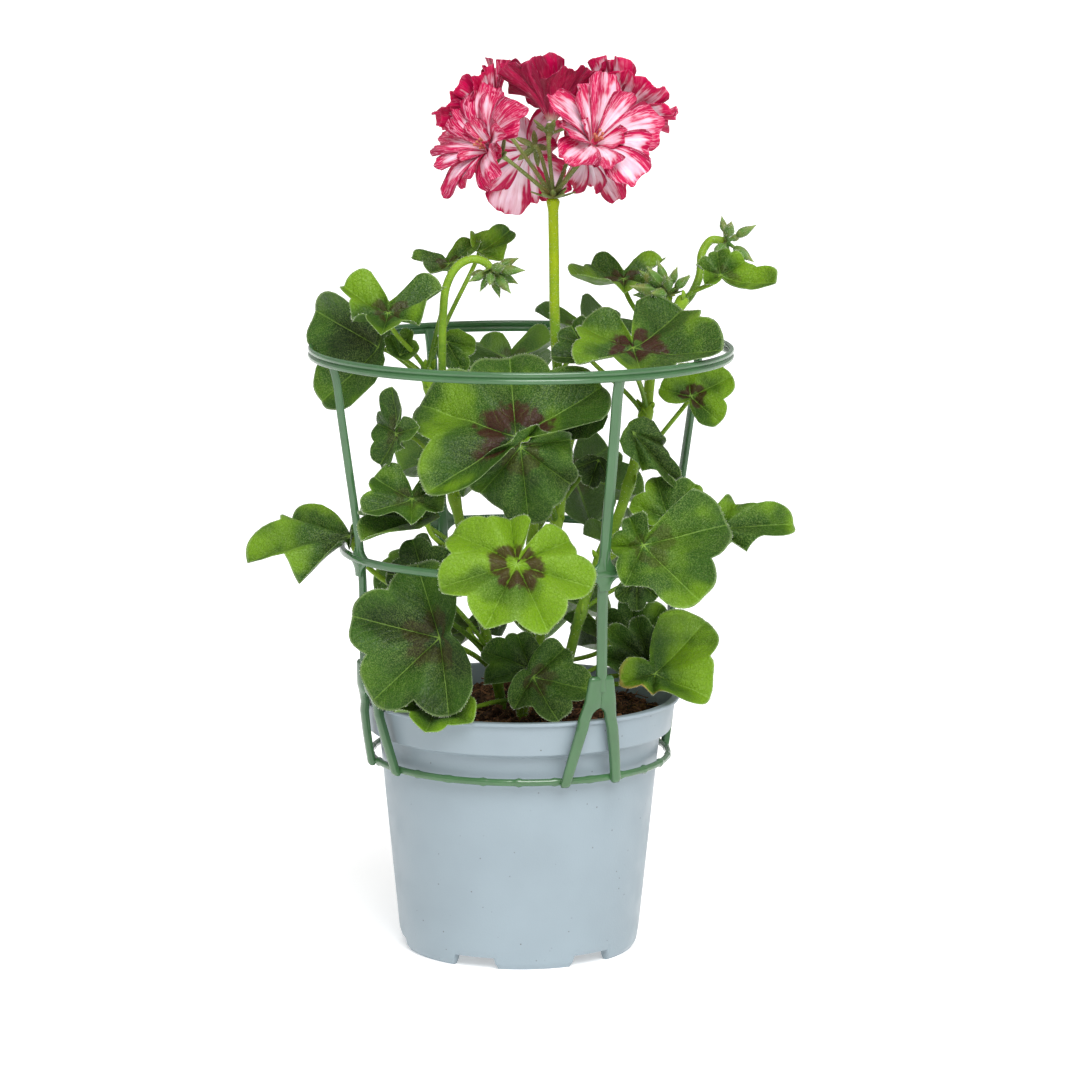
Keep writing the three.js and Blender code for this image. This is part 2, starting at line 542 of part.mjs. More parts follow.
/** The blade's solid: a fan round the stalk's end to every other angle, then out to the lobed edge. */
function leafBlade(leaf) {
  const frame = leafFrame(leaf);
  const angles = bladeAngles(leaf);
  const count = angles.length;
  const ringCount = leaf.size > SMALL_LEAF ? count / 2 : 0;
  const inner = (i) => (ringCount ? 1 + (Math.floor(i / 2) % ringCount) : 0);
  const outer = (i) => 1 + ringCount + (i % count);
  const points = [leafPoint(leaf, frame, 0, 0)];
  for (let i = 0; i < ringCount; i++) points.push(leafPoint(leaf, frame, INNER_RING, angles[2 * i]));
  for (const angle of angles) points.push(leafPoint(leaf, frame, 1, angle));
  const triangles = [];
  const rim = [];
  for (let i = 0; i < count; i += 2) {
    if (ringCount) triangles.push(0, inner(i + 2), inner(i), inner(i), inner(i + 2), outer(i + 1));
    triangles.push(inner(i), outer(i + 1), outer(i), inner(i + 2), outer(i + 2), outer(i + 1));
    rim.push(outer(i), outer(i + 1));
  }
  return blade(points, triangles, rim.reverse(), LEAF_THICKNESS);
}

/** The point of a main stem's curve nearest to a height. */
function stemPoint(curve, height) {
  const samples = curve.getPoints(STEM_SAMPLES);
  return samples.reduce((best, p) => (Math.abs(p.z - height) < Math.abs(best.z - height) ? p : best));
}

/** A leaf stalk: out and up from the stem, then into the blade from below. */
function petioleCurve(leaf, start) {
  const { normal } = leafFrame(leaf);
  const end = new THREE.Vector3(...leaf.at).addScaledVector(normal, 0.35);
  const reach = start.distanceTo(end);
  const outward = end.clone().sub(start).normalize();
  const leave = start.clone().addScaledVector(outward, 0.3 * reach);
  leave.z += 0.12 * reach;
  const arrive = end.clone().addScaledVector(normal, -(leaf.under ?? 0.32) * reach);
  return new THREE.CubicBezierCurve3(start, leave, arrive, end);
}

const curveThrough = (points) => new THREE.CatmullRomCurve3(points.map((p) => new THREE.Vector3(...p)));

/** A main stem along a path that stands straight in the soil, then curves. */
function mainStem(name, radius) {
  const path = STEMS[name];
  const [x, y, top] = path[1];
  const straight = [path[0], [x, y, (path[0][2] + top) / 2], [x, y, top - 3]];
  const curve = curveThrough([...straight, ...path.slice(1)]);
  return { curve, solid: stalk(curve, radius, STEM_SIDES, 2 * path.length) };
}

/** A main stem with the stalks and blades of all its leaves, as one body. */
function makeLeafyStem(name) {
  const { curve, solid } = mainStem(name, MAIN_STEM_RADIUS);
  const parts = [solid];
  for (const leaf of LEAVES.filter(({ stem }) => stem === name)) {
    const start = stemPoint(curve, leaf.root);
    parts.push(stalk(petioleCurve(leaf, start), PETIOLE_RADIUS, 4, 3));
    parts.push(leafBlade(leaf));
  }
  return union(parts);
}

// ---------------------------------------------------------------------------------------------
// Bloom
// ---------------------------------------------------------------------------------------------

// The bloom's long stalk, from the centre stem to the umbel.
const PEDUNCLE = [
  [17.5, 0, 186], [15.7, -1, 196], [14.2, 0, 211], [12.6, 0, 233], [12.1, 0, 259], [11.6, 0, 282.5],
];
const UMBEL = new THREE.Vector3(...PEDUNCLE.at(-1));

/**
 * The florets.
 * cup: foot of the calyx. towards: the way the floret looks. turn: of its petals round that way.
 * size: length of a petal. open: angle of the petals' ends from the floret's axis.
 */
const FLORETS = [
  { cup: [-7, -9, 298], towards: [-0.76, -0.55, 0.48], turn: 20, size: 26, open: 100 },
  { cup: [-5, 7, 305], towards: [-0.85, 0.25, 0.86], turn: 54, size: 24, open: 44 },
  { cup: [10, 2, 305], towards: [0.15, 0.37, 0.97], turn: 8, size: 27, open: 54 },
  { cup: [5, 12, 300], towards: [-0.45, 0.88, -0.3], turn: 55, size: 26, open: 86 },
  { cup: [20, 12, 299], towards: [0.6, 0.85, -0.1], turn: 10, size: 24, open: 72 },
  { cup: [24, -8, 300], towards: [0.38, -0.75, 0.56], turn: 53, size: 27, open: 82 },
  { cup: [29, 4, 304], towards: [0.66, 0.26, 0.82], turn: 11, size: 26, open: 43 },
];

const SEPAL_REACH = 7.5;         // how far the sepals' points stand from the floret's axis
const BRACT_COUNT = 6;
const CUP_HEIGHT = 3;            // of the calyx's cup, above which the petals begin
const TUBE_RADIUS = 1.5;
const TUBE_HEIGHT = 4.5;
const SEPAL_THICKNESS = 0.8;
const PETAL_COUNT = 5;
const PETAL_START = { radial: 0.9, axial: 1.6 };
const START_LEAN = 22;           // lean of a petal's foot away from the floret's axis, degrees
const PETAL_OVERLAP = 0.22;      // rise of a petal's leading edge over its neighbour's trailing edge

/** Frame of a floret: its axis and two directions across it. */
function floretFrame({ towards, turn }) {
  const axis = new THREE.Vector3(...towards).normalize();
  const helper = Math.abs(axis.z) > 0.9 ? new THREE.Vector3(0, 1, 0) : new THREE.Vector3(0, 0, 1);
  const first = helper.clone().addScaledVector(axis, -helper.dot(axis)).normalize();
  const second = new THREE.Vector3().crossVectors(axis, first);
  const spoke = (degrees) => {
    const angle = radians(degrees + turn);
    return first.clone().multiplyScalar(Math.cos(angle)).addScaledVector(second, Math.sin(angle));
  };
  return { axis, spoke };
}

/** A petal: it rises beside the axis, bends outwards along its length, and widens to a waved, blunt end. */
function petal(floret, frame, index) {
  const { size, open, cup } = floret;
  const out = frame.spoke((360 / PETAL_COUNT) * index);
  const side = new THREE.Vector3().crossVectors(frame.axis, out);
  const [rows, columns] = [3, 2];
  const points = [];
  let [radial, axial, travelled] = [PETAL_START.radial, CUP_HEIGHT + PETAL_START.axial, 0];
  for (let row = 0; row <= rows; row++) {
    const t = row / rows;
    if (row > 0) {
      const lean = radians(START_LEAN + (open - START_LEAN) * Math.min(1, 1.25 * travelled));
      radial += (size / rows) * Math.sin(lean);
      axial += (size / rows) * Math.cos(lean);
    }
    travelled = t + 0.5 / rows;
    const width = size * (0.03 + 0.9 * t ** 1.1 * (1 - 0.42 * t ** 5));
    for (let column = 0; column <= columns; column++) {
      const s = (2 * column) / columns - 1;
      const curl = 0.16 * width * (1 - Math.abs(s)) + 0.05 * size * t * t * Math.sin(5 * s + 2 * index);
      points.push(new THREE.Vector3(...cup)
        .addScaledVector(frame.axis, axial - 0.3 * curl + PETAL_OVERLAP * s * width * t)
        .addScaledVector(out, radial + 0.8 * curl - 0.04 * size * t ** 4 * s * s)
        .addScaledVector(side, (s * width) / 2));
    }
  }
  const triangles = [];
  const stride = columns + 1;
  for (let row = 0; row < rows; row++) {
    for (let column = 0; column < columns; column++) {
      const a = row * stride + column;
      triangles.push(a, a + 1, a + stride + 1, a, a + stride + 1, a + stride);
    }
  }
  const rim = [];
  for (let column = 0; column < columns; column++) rim.push(column);
  for (let row = 0; row < rows; row++) rim.push(row * stride + columns);
  for (let column = columns; column > 0; column--) rim.push(rows * stride + column);
  for (let row = rows; row > 0; row--) rim.push(row * stride);
  return blade(points, triangles, rim, PETAL_THICKNESS);
}

/** A floret's petals, fused at their feet round a short tube. */
function makeFloret(floret) {
  const frame = floretFrame(floret);
  const cup = new THREE.Vector3(...floret.cup);
  const from = cup.clone().addScaledVector(frame.axis, CUP_HEIGHT + GAP);
  const to = cup.clone().addScaledVector(frame.axis, CUP_HEIGHT + TUBE_HEIGHT);
  const tube = stalk(new THREE.LineCurve3(from, to), TUBE_RADIUS, 5, 1);
  const petals = [];
  for (let i = 0; i < PETAL_COUNT; i++) petals.push(petal(floret, frame, i));
  return union([tube, ...petals]);
}

/** A star of pointed sepals or bracts: a flat star round an axis, raised towards its points. */
function starOf(count, foot, frame, innerRadius, outerRadius, rise) {
  const outline = [];
  for (let i = 0; i < 2 * count; i++) {
    const radius = i % 2 ? outerRadius : innerRadius;
    const angle = (Math.PI * i) / count;
    outline.push(new THREE.Vector2(radius * Math.cos(angle), radius * Math.sin(angle)));
  }
  const depth = SEPAL_THICKNESS;
  const geometry = new THREE.ExtrudeGeometry(new THREE.Shape(outline), { depth, bevelEnabled: false });
  const position = geometry.attributes.position;
  const [first, second] = [frame.spoke(0), frame.spoke(90)];
  for (let i = 0; i < position.count; i++) {
    const [x, y, z] = [position.getX(i), position.getY(i), position.getZ(i)];
    const point = foot.clone()
      .addScaledVector(first, x)
      .addScaledVector(second, y)
      .addScaledVector(frame.axis, z - depth / 2 + rise * Math.hypot(x, y));
    position.setXYZ(i, ...point);
  }
  return toSolid(geometry);
}

/** The bloom's green part: its long stalk, a ring of bracts, the pedicels and the florets' calyces. */
function makeBloomStalk() {
  const knob = new THREE.IcosahedronGeometry(1.2 * KNOB_RADIUS, 0);
  knob.translate(...UMBEL);
  const parts = [stalk(curveThrough(PEDUNCLE), PEDUNCLE_RADIUS, STEM_SIDES, 7), toSolid(knob)];
  const upright = floretFrame({ towards: [0, 0, 1], turn: 0 });
  parts.push(starOf(BRACT_COUNT, UMBEL.clone(), upright, 2.6, 8, 0.25));
  for (const floret of FLORETS) {
    const frame = floretFrame(floret);
    const cup = new THREE.Vector3(...floret.cup);
    const start = UMBEL.clone().lerp(cup, 0.06);
    const leave = UMBEL.clone().lerp(cup, 0.5);
    const arrive = cup.clone().addScaledVector(frame.axis, -4);
    const end = cup.clone().addScaledVector(frame.axis, CUP_HEIGHT);
    parts.push(stalk(new THREE.CubicBezierCurve3(start, leave, arrive, end), PEDICEL_RADIUS, 4, 3));
    const sepalFoot = cup.clone().addScaledVector(frame.axis, 1.2);
    parts.push(starOf(PETAL_COUNT, sepalFoot, frame, 1.8, SEPAL_REACH, 0.42));
  }
  return union(parts).subtract(stemClearance('centre'));
}

/** What a stalk that grows from a main stem is cut by: that stem with the usual gap round it. */
function stemClearance(name) {
  return mainStem(name, MAIN_STEM_RADIUS + GAP).solid;
}

// ---------------------------------------------------------------------------------------------
// Bud sprays
// ---------------------------------------------------------------------------------------------

/**
 * The sprays of closed buds.
 * stem, path: the main stem that it grows from, and its stalk's centre line from there to the umbel.
 * looks, spread: the way the cluster points, and the widest angle of a bud from it.
 * count, length, reach: number and length of the buds, and the length of their pedicels.
 */
const BUD_SPRAYS = {
  left: {
    stem: 'left', count: 12, length: 10, reach: 3.6, looks: [0.3, -0.15, -1], spread: 100,
    path: [
      [-31, -12, 203], [-29.2, -16, 213], [-28.7, -15, 239], [-27.3, -14, 251], [-23.3, -13, 258],
      [-18, -12, 260.5], [-13, -11, 259], [-11, -11, 256.5],
    ],
  },
  right: {
    stem: 'right', count: 12, length: 11.5, reach: 4.5, looks: [-0.3, -0.1, 0.95], spread: 80,
    path: [[49, 0, 223], [52, 1, 230], [54, 2.5, 236], [54.5, 3, 246]],
  },
  top: {
    stem: 'right', count: 7, length: 11, reach: 4.5, looks: [0.97, -0.1, 0.12], spread: 110,
    path: [[57, 1, 240], [63, 9, 245], [66.5, 15, 252], [67.5, 19, 260], [71, 20.5, 264.5], [76.5, 20, 264]],
  },
};

const GOLDEN_ANGLE = 137.5;

/** A closed bud with its pedicel: one slim, pointed, four-sided body that starts inside the knob. */
function bud(from, direction, reach, length) {
  const profile = [
    [0, 1], [PEDICEL_RADIUS, reach], [0.2 * length, reach + 0.35 * length], [0, reach + length],
  ].map(([radius, height]) => new THREE.Vector2(radius, height));
  const body = new THREE.LatheGeometry(profile, 4);
  body.applyQuaternion(new THREE.Quaternion().setFromUnitVectors(new THREE.Vector3(0, 1, 0), direction));
  body.translate(...from);
  return toSolid(body);
}

/** A spray: its stalk, and buds spread over a cap round the way it looks, turned on by the golden angle. */
function makeBudSpray({ stem, path, count, length, reach, looks, spread }) {
  const curve = curveThrough(path);
  const centre = curve.getPoint(1);
  const knob = new THREE.IcosahedronGeometry(KNOB_RADIUS, 0);
  knob.translate(...centre);
  const parts = [stalk(curve, BUD_STALK_RADIUS, STEM_SIDES, 2 * path.length), toSolid(knob)];
  const frame = floretFrame({ towards: looks, turn: 0 });
  for (let i = 0; i < count; i++) {
    const lean = radians(spread * Math.sqrt((i + 0.3) / count));
    const direction = frame.axis.clone().multiplyScalar(Math.cos(lean));
    direction.addScaledVector(frame.spoke(GOLDEN_ANGLE * i), Math.sin(lean));
    const grown = length * (0.8 + 0.2 * Math.sin(2.3 * i));
    parts.push(bud(centre, direction, reach, grown));
  }
  return union(parts).subtract(stemClearance(stem));
}

// ---------------------------------------------------------------------------------------------
// The whole plant
// ---------------------------------------------------------------------------------------------

const plant = new THREE.Group();

function add(name, solid, material) {
  const mesh = new THREE.Mesh(toGeometry(solid), material);
  mesh.name = name;
  plant.add(mesh);
}

add('pot', makePot(), MATERIALS.pot);
add('soil', makeSoil(), MATERIALS.soil);
add('support_cage', makeCage(), MATERIALS.cage);
for (const name of Object.keys(STEMS)) add(`leafy_stem_${name}`, makeLeafyStem(name), MATERIALS.leaf);
add('bloom_stalk', makeBloomStalk(), MATERIALS.stalk);
FLORETS.forEach((floret, i) => add(`floret_${i + 1}`, makeFloret(floret), MATERIALS.petal));
for (const [name, spray] of Object.entries(BUD_SPRAYS)) {
  add(`bud_spray_${name}`, makeBudSpray(spray), MATERIALS.bud);
}

export default plant;
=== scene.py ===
"""Potted ivy-leaved geranium with its support cage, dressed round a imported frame.

Every surface is a formula over a grid of two parameters, worked out in millimetres as whole arrays.
+Z is up, the viewer of the front stands at -Y, and bearings are measured from -Y towards +X in degrees.
"""

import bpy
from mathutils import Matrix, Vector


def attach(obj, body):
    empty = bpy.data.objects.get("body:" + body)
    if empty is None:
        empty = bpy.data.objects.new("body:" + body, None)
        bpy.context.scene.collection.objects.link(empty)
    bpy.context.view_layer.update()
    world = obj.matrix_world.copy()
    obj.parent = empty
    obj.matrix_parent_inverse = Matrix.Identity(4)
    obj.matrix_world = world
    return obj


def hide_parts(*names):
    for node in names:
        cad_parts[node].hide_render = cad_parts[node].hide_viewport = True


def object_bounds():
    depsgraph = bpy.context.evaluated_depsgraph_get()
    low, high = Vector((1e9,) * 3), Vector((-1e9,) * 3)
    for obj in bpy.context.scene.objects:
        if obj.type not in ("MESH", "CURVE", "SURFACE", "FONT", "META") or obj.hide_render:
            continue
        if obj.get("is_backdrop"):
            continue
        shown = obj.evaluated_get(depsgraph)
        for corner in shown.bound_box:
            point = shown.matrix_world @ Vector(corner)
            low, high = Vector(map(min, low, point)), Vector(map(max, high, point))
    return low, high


bl_info = {
    "name": "Potted geranium",
    "version": (1, 0, 0),
    "blender": (4, 5, 0),
    "location": "View3D > Sidebar > Geranium",
    "description": "Dresses a potted geranium and its support cage round a packed frame",
    "category": "Add Mesh",
}

import math
from dataclasses import dataclass
from itertools import combinations

import bpy
import numpy as np
from mathutils import Matrix, Vector

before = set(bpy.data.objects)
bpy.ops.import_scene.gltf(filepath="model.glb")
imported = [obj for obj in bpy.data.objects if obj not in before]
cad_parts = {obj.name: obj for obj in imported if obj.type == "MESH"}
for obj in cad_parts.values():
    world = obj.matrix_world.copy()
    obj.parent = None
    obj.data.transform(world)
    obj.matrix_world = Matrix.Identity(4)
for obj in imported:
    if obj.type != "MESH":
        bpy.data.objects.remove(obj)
CAD_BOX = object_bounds()

MM = 0.001

# ---- Sizes and places, in millimetres, the same as the frame's ----

# Radii and heights of the pot: floor, foot ring, heel, body, step, band, lip, and back down the inside.
POT_PROFILE = (
    (2, 5), (40.9, 5), (40.9, 0), (43, 0), (44.4, 2.2), (45.2, 7), (52.7, 82), (56.8, 83.5), (58.5, 94.6),
    (60, 94.9), (60, 96.2), (57, 96.2), (55.3, 85), (51.2, 83.5), (43.7, 6.5), (2, 6.5),
)
LIP_RADIUS = 60.0
FOOT_RADIUS = 43.0
FOOT_RING_WIDTH = 2.1
FOOT_COUNT = 6
FOOT_BEARING = 8.0
NOTCH_HALF_ANGLE = 11.4
NOTCH_HEIGHT = 4.4
DRAIN_HOLE_RADIUS = 4.0
DRAIN_HOLE_CIRCLE = 31.0
DRAIN_CUT = (-2.0, 9.0)          # heights between which the drain holes are cut

# Radii and heights of the peat: four points of its underside and side, and then its top from the edge in.
SOIL_PROFILE = (
    (2, 6.8), (43.2, 6.8), (50.7, 83.5), (54.8, 85.6),
    (54.9, 87.4), (45, 88.6), (35, 89), (25, 89.6), (13, 90),
)
SOIL_SIDE_POINTS = 4
SOIL_TOP_Z = 89.0
CLOD_HEIGHT = 1.3
LUMPS = ((5, 1, 0.7), (2.1, 2, 0.5), (1, 3, 0.25))       # size, random seed and height
CRUMB_RADIUS = 54                # how far out the crumbs lie
FIBRE_MIDDLE_RADIUS = 52         # how far out a fibre's middle may lie, and its ends
FIBRE_END_RADIUS = 53

# Legs and clips: heights with radii, and for a clip's edges heights with widths from its middle.
LEG_BEARINGS = (27.5, 117.5, 207.5, 297.5)
LEG_CENTRE = ((224.5, 77.4), (218, 75.6), (206, 73.9), (156, 66.4), (147, 65.5), (138, 65.1), (108, 64.8))
CLIP_INNER = ((114, 63.5), (104, 62.7), (99.5, 61.2), (97, 60.6), (93.5, 60.6), (84, 58.8), (72, 56.2))
CLIP_OUTER_EDGE = ((113.6, 4.3), (104, 5.8), (97, 7.4), (93.5, 8.2), (84, 10.3), (72, 12.9))
CLIP_INNER_EDGE = ((101.6, 0.0), (101, 1.2), (99.6, 2.4), (97, 3.2), (93.5, 4.0), (84, 6.3), (72, 9.1))
CLIP_THICKNESS = 2.4
CLIP_TOP_Z, CLIP_FORK_Z, CLIP_FOOT_Z = 113.6, 101.6, 71.6
TOP_RING = (77.9, 225.0)         # radius and height
MIDDLE_RING = (66.6, 151.5)
LOWER_RING = (55.8, 73.5)
LOWER_RING_BUMPS = 13
LEG_SIZE = (4.0, 2.4)            # width and thickness

MAIN_STEM_RADIUS = 2.2
BURIED_ROWS = 80                 # rows of a main stem's 201 that bear no hairs, most of them in the peat
PETIOLE_RADIUS = 1.15
PEDUNCLE_RADIUS = 2.05
BUD_STALK_RADIUS = 1.6
PEDICEL_RADIUS = 0.65

# Main stems' centre lines, from inside the peat up.
STEMS = {
    "left": ((-7, -8, 60), (-7, -8, 94), (-15.6, -12, 133), (-24.2, -14, 171), (-31, -12, 201),
             (-34.6, -10, 220)),
    "centre": ((5, 5, 60), (5, 5, 94), (9.3, 4, 130), (14.7, 2, 169), (18.3, 0, 195), (20, -2, 206)),
    "right": ((15, -6, 60), (15, -6, 94), (24.2, -8, 133), (37, -8, 166), (43, -6, 187), (46.5, -3, 203),
              (50, 0, 226), (61, 2, 246)),
    "front": ((1, -20, 60), (1, -20, 94), (0, -22, 104)),
    "back": ((6, 24, 60), (6, 24, 94), (4, 27, 140), (8, 28, 180), (12, 26, 212)),
}


@dataclass(frozen=True)
class Leaf:
    """A leaf. stem, root: the main stem, and the height where the leaf stalk leaves it. at: where the
    stalk meets the blade. size: length of a lobe of 1. face, tilt: bearing and elevation that the upper
    face looks to. tip: turn of the middle lobe, clockwise from straight up. sweep: angle that the lobes
    fill. lobes: their lengths, anticlockwise end first. cup, fold, pleat, wave, depth: shape of the
    blade. under: how far below the blade its stalk comes in. tone: from dark, -1, to bright, 1. zone,
    dry: how clear its brown horseshoe is, and how dry its margin round dry_turn from the middle lobe."""

    stem: str
    root: float
    at: tuple
    size: float
    face: float
    tilt: float
    tip: float
    sweep: float
    lobes: tuple
    cup: float = 0.12
    fold: float = 0.0
    fold_turn: float = 0.0
    pleat: float = 0.1
    wave: float = 0.05
    depth: float = 0.2
    under: float = 0.32
    tone: float = 0.0
    zone: float = 0.5
    dry: float = 0.0
    dry_turn: float = 0.0


# Tones near -1 darken leaves deep in the plant, partly as painted shade.
LEAVES = (
    Leaf("left", 212, (-52.5, -7, 227), 29, -30, 10, 292, 215, (0.98, 1.1, 0.6),
         cup=0.05, fold=0.28, depth=0.3, tone=-0.35, zone=0.1),
    Leaf("left", 217, (-48.5, -26, 242), 20, 0, 62, 186, 300, (1.08, 0.72, 0.92, 0.7, 1),
         cup=0.36, pleat=0.15, tone=0.3, zone=0.6),
    Leaf("left", 215, (-44.5, -14, 225), 10, -10, 22, 20, 150, (0.8, 1, 0.8),
         cup=0.3, fold=0.3, tone=-0.3, zone=0),
    Leaf("left", 218, (-26.5, 4, 257), 14, 0, 62, 305, 250, (0.95, 1.02, 0.3, 1),
         cup=0.25, fold=0.1, tone=-0.05, zone=0.6),
    Leaf("left", 219, (-15.4, 9, 261), 14, 20, 45, 60, 180, (0.6, 1.08, 0.65),
         cup=0.25, fold=0.1, tone=0.35, zone=0.1),
    Leaf("left", 172, (-45.2, -38, 199.3), 15, -48, 4, 212, 350, (0.8, 0.4, 0.98, 0.8, 1.12),
         cup=0.12, depth=0.28, tone=-0.1, zone=0.3),
    Leaf("left", 110, (-62.8, -12, 157), 39.5, -8, 62, 260, 200, (0.13, 0.66, 1, 0.74, 0.16),
         cup=-0.1, fold=0.05, tone=0.05, zone=0),
    Leaf("left", 146, (-39.2, -46, 176.5), 20, 0, 55, 180, 320, (0.7, 0.62, 0.6, 0.98, 0.88),
         cup=0.16, tone=0.1, zone=0.3),
    Leaf("left", 143, (-34, -36, 168), 28, 0, 70, 256, 70, (1, 0.9),
         cup=0.1, tone=-0.05, zone=0),
    Leaf("left", 205, (-27.9, 8, 227.5), 14, 0, 25, 126, 100, (0.8, 1),
         cup=-0.1, fold=0.2, tone=-0.1, zone=0),
    Leaf("centre", 172, (-1.5, -44, 199), 40, -4, 40, 294, 295, (0.12, 0.96, 1, 0.9, 0.97),
         cup=-0.02, fold=0.05, tone=0.05, zone=1),
    Leaf("centre", 160, (0.1, -47, 196), 31, 4, -4, 130, 215, (0.32, 0.62, 0.82, 0.98, 0.78),
         cup=-0.1, fold=-0.2, fold_turn=43, depth=0.1, tone=-0.35, zone=0.45),
    Leaf("right", 201, (24.5, -13, 225), 15, -35, 42, 315, 220, (0.8, 1, 0.9),
         cup=0.3, fold=0.4, tone=-0.2, zone=0.3),
    Leaf("centre", 136, (-0.9, -71, 157), 31, 0, 38, 205, 344, (0.72, 0.93, 0.9, 0.85, 0.93, 0.9, 0.64),
         cup=-0.04, pleat=0.1, depth=0.15, tone=0.9, zone=0.9),
    Leaf("left", 104, (-29, -50, 126), 35, -10, 20, 254, 224, (0.82, 0.96, 0.98, 0.86),
         cup=0, tone=-0.4, zone=0.45),
    Leaf("centre", 194, (29, -18, 206), 22, -10, 10, 262, 70, (1, 0.9),
         fold=0.2, tone=-0.7, zone=0),
    Leaf("centre", 165, (29, -4, 185), 11, -10, -10, 200, 160, (0.8, 1, 0.8),
         fold=0.5, tone=-0.7, zone=0),
    Leaf("right", 203, (41, -30, 230), 30, 4, 66, 174, 335, (1.02, 1.1, 0.8, 0.82, 0.76),
         cup=0.2, tone=0.05, zone=1),
    Leaf("right", 226, (38.1, 14, 250.5), 21, 0, 66, 180, 300, (0.8, 0.5, 0.6, 1.08, 0.68),
         cup=0.42, tone=0.2, zone=0.8),
    Leaf("right", 244, (73.6, -5, 254), 18, 10, 45, 0, 300, (0.42, 0.55, 0.58, 0.62, 1.15),
         cup=0.45, tone=0.4, zone=0.3),
    Leaf("right", 176, (63.4, 8, 207.2), 17, 5, 24, 30, 280, (0.72, 0.78, 1, 0.88),
         cup=0.12, fold=0.1, depth=0.24, tone=0.5, zone=0.9),
    Leaf("right", 148, (44.7, -54, 161.2), 33, 4, 26, 205, 325, (0.98, 0.92, 0.5, 0.36, 0.35),
         cup=0.04, fold=0.3, fold_turn=-130, tone=0, zone=0.35),
    Leaf("right", 152, (54.3, -28, 166.8), 17.5, 0, 28, 345, 160, (0.85, 0.95, 0.95),
         cup=0.1, fold=0.15, tone=0.1, zone=0),
    Leaf("right", 156, (74, -10, 160.2), 29, 10, 40, 110, 200, (0.45, 1, 0.45, 0.3),
         cup=0.05, fold=0.1, under=0.04, tone=0.25, zone=0),
    Leaf("right", 190, (41, -28, 199), 27, 20, 12, 138, 80, (0.55, 1, 0.55),
         cup=-0.1, fold=-0.2, tone=-0.2, zone=0),
    Leaf("right", 96, (50.1, -22, 107.5), 30, 6, 42, 152, 288, (0.97, 0.74, 0.28, 0.45),
         cup=0.15, tone=0.55, zone=0, dry=1, dry_turn=75),
    Leaf("right", 128, (43.4, -14, 141), 11, 0, 0, 180, 150, (0.9, 1, 0.9),
         tone=-0.8, zone=0),
    Leaf("right", 97, (49.2, -14, 108.2), 22, 5, 25, 314, 90, (0.9, 1, 0.9),
         tone=-0.35, zone=0),
    Leaf("right", 98, (44.5, 10, 112), 20, 0, 22, 350, 120, (0.95, 1, 0.9),
         tone=0.1, zone=0),
    Leaf("left", 112, (-35, -30, 144), 16, -10, 16, 340, 190, (0.9, 1, 0.9),
         tone=-0.6, zone=0),
    Leaf("front", 96, (-30.4, -49, 101.3), 19, -5, 58, 187, 300, (0.62, 0.95, 0.95, 0.84, 0.5),
         cup=0.25, wave=0.12, tone=0.35, zone=0.1),
    Leaf("front", 101, (4, -31, 111), 20.5, 0, 48, 300, 130, (0.85, 1, 0.85),
         cup=-0.05, wave=0.1, tone=-0.3, zone=0),
    Leaf("front", 100, (5, -37, 109.1), 23, 6, 38, 130, 220, (0.72, 0.97, 0.92, 0.6),
         cup=0.05, fold=0.1, wave=0.1, tone=-0.2, zone=0.5),
    Leaf("back", 160, (-18, 40, 186), 31, 195, 38, 180, 310, (0.85, 1, 0.95, 1, 0.9),
         cup=0.05, tone=0.0, zone=0.8),
    Leaf("back", 148, (20, 38, 174), 28, 165, 32, 190, 310, (0.9, 1, 0.9, 1, 0.8),
         cup=0, tone=-0.1, zone=0.9),
    Leaf("back", 112, (-34, 28, 139), 25, 215, 30, 170, 300, (0.8, 1, 1, 0.95, 0.8),
         cup=0.05, tone=0.1, zone=0.7),
    Leaf("back", 106, (6, 69, 123), 30, 178, 42, 185, 320, (0.8, 0.95, 0.9, 1, 0.85),
         cup=-0.05, tone=-0.2, zone=0.9),
    Leaf("back", 122, (40, 26, 148), 23, 140, 34, 200, 300, (0.85, 1, 0.95, 0.9, 0.8),
         cup=0.08, tone=0.0, zone=0.8),
    Leaf("back", 97, (-20, 36, 114), 19, 200, 50, 180, 300, (0.9, 1, 0.9, 1, 0.9),
         cup=0.15, tone=0.2, zone=0.6),
    Leaf("back", 98, (34, 42, 108), 22, 150, 48, 170, 300, (0.9, 0.9, 1, 0.9, 1),
         cup=0.15, tone=0.1, zone=0.5),
    Leaf("back", 204, (24, 32, 230), 22, 150, 56, 190, 310, (0.9, 1, 0.9, 1, 0.9),
         cup=0.2, tone=0.2, zone=0.8),
    Leaf("back", 200, (-4, 34, 218), 20, 200, 48, 180, 310, (0.9, 1, 0.9, 1, 0.9),
         cup=0.2, tone=0.1, zone=0.7),
)

# The bloom's long stalk, and the umbel at its top.
PEDUNCLE = ((17.5, 0, 186), (15.7, -1, 196), (14.2, 0, 211), (12.6, 0, 233), (12.1, 0, 259), (11.6, 0, 282.5))
UMBEL = np.array(PEDUNCLE[-1], float)


@dataclass(frozen=True)
class Floret:
    """A floret. cup: foot of its calyx. towards: the way it looks. turn: of its petals round that way.
    size: length of a petal. opened: angle of the petals' ends from the floret's axis. deep: how far the
    crimson of its margins spreads."""

    cup: tuple
    towards: tuple
    turn: float
    size: float
    opened: float
    deep: float


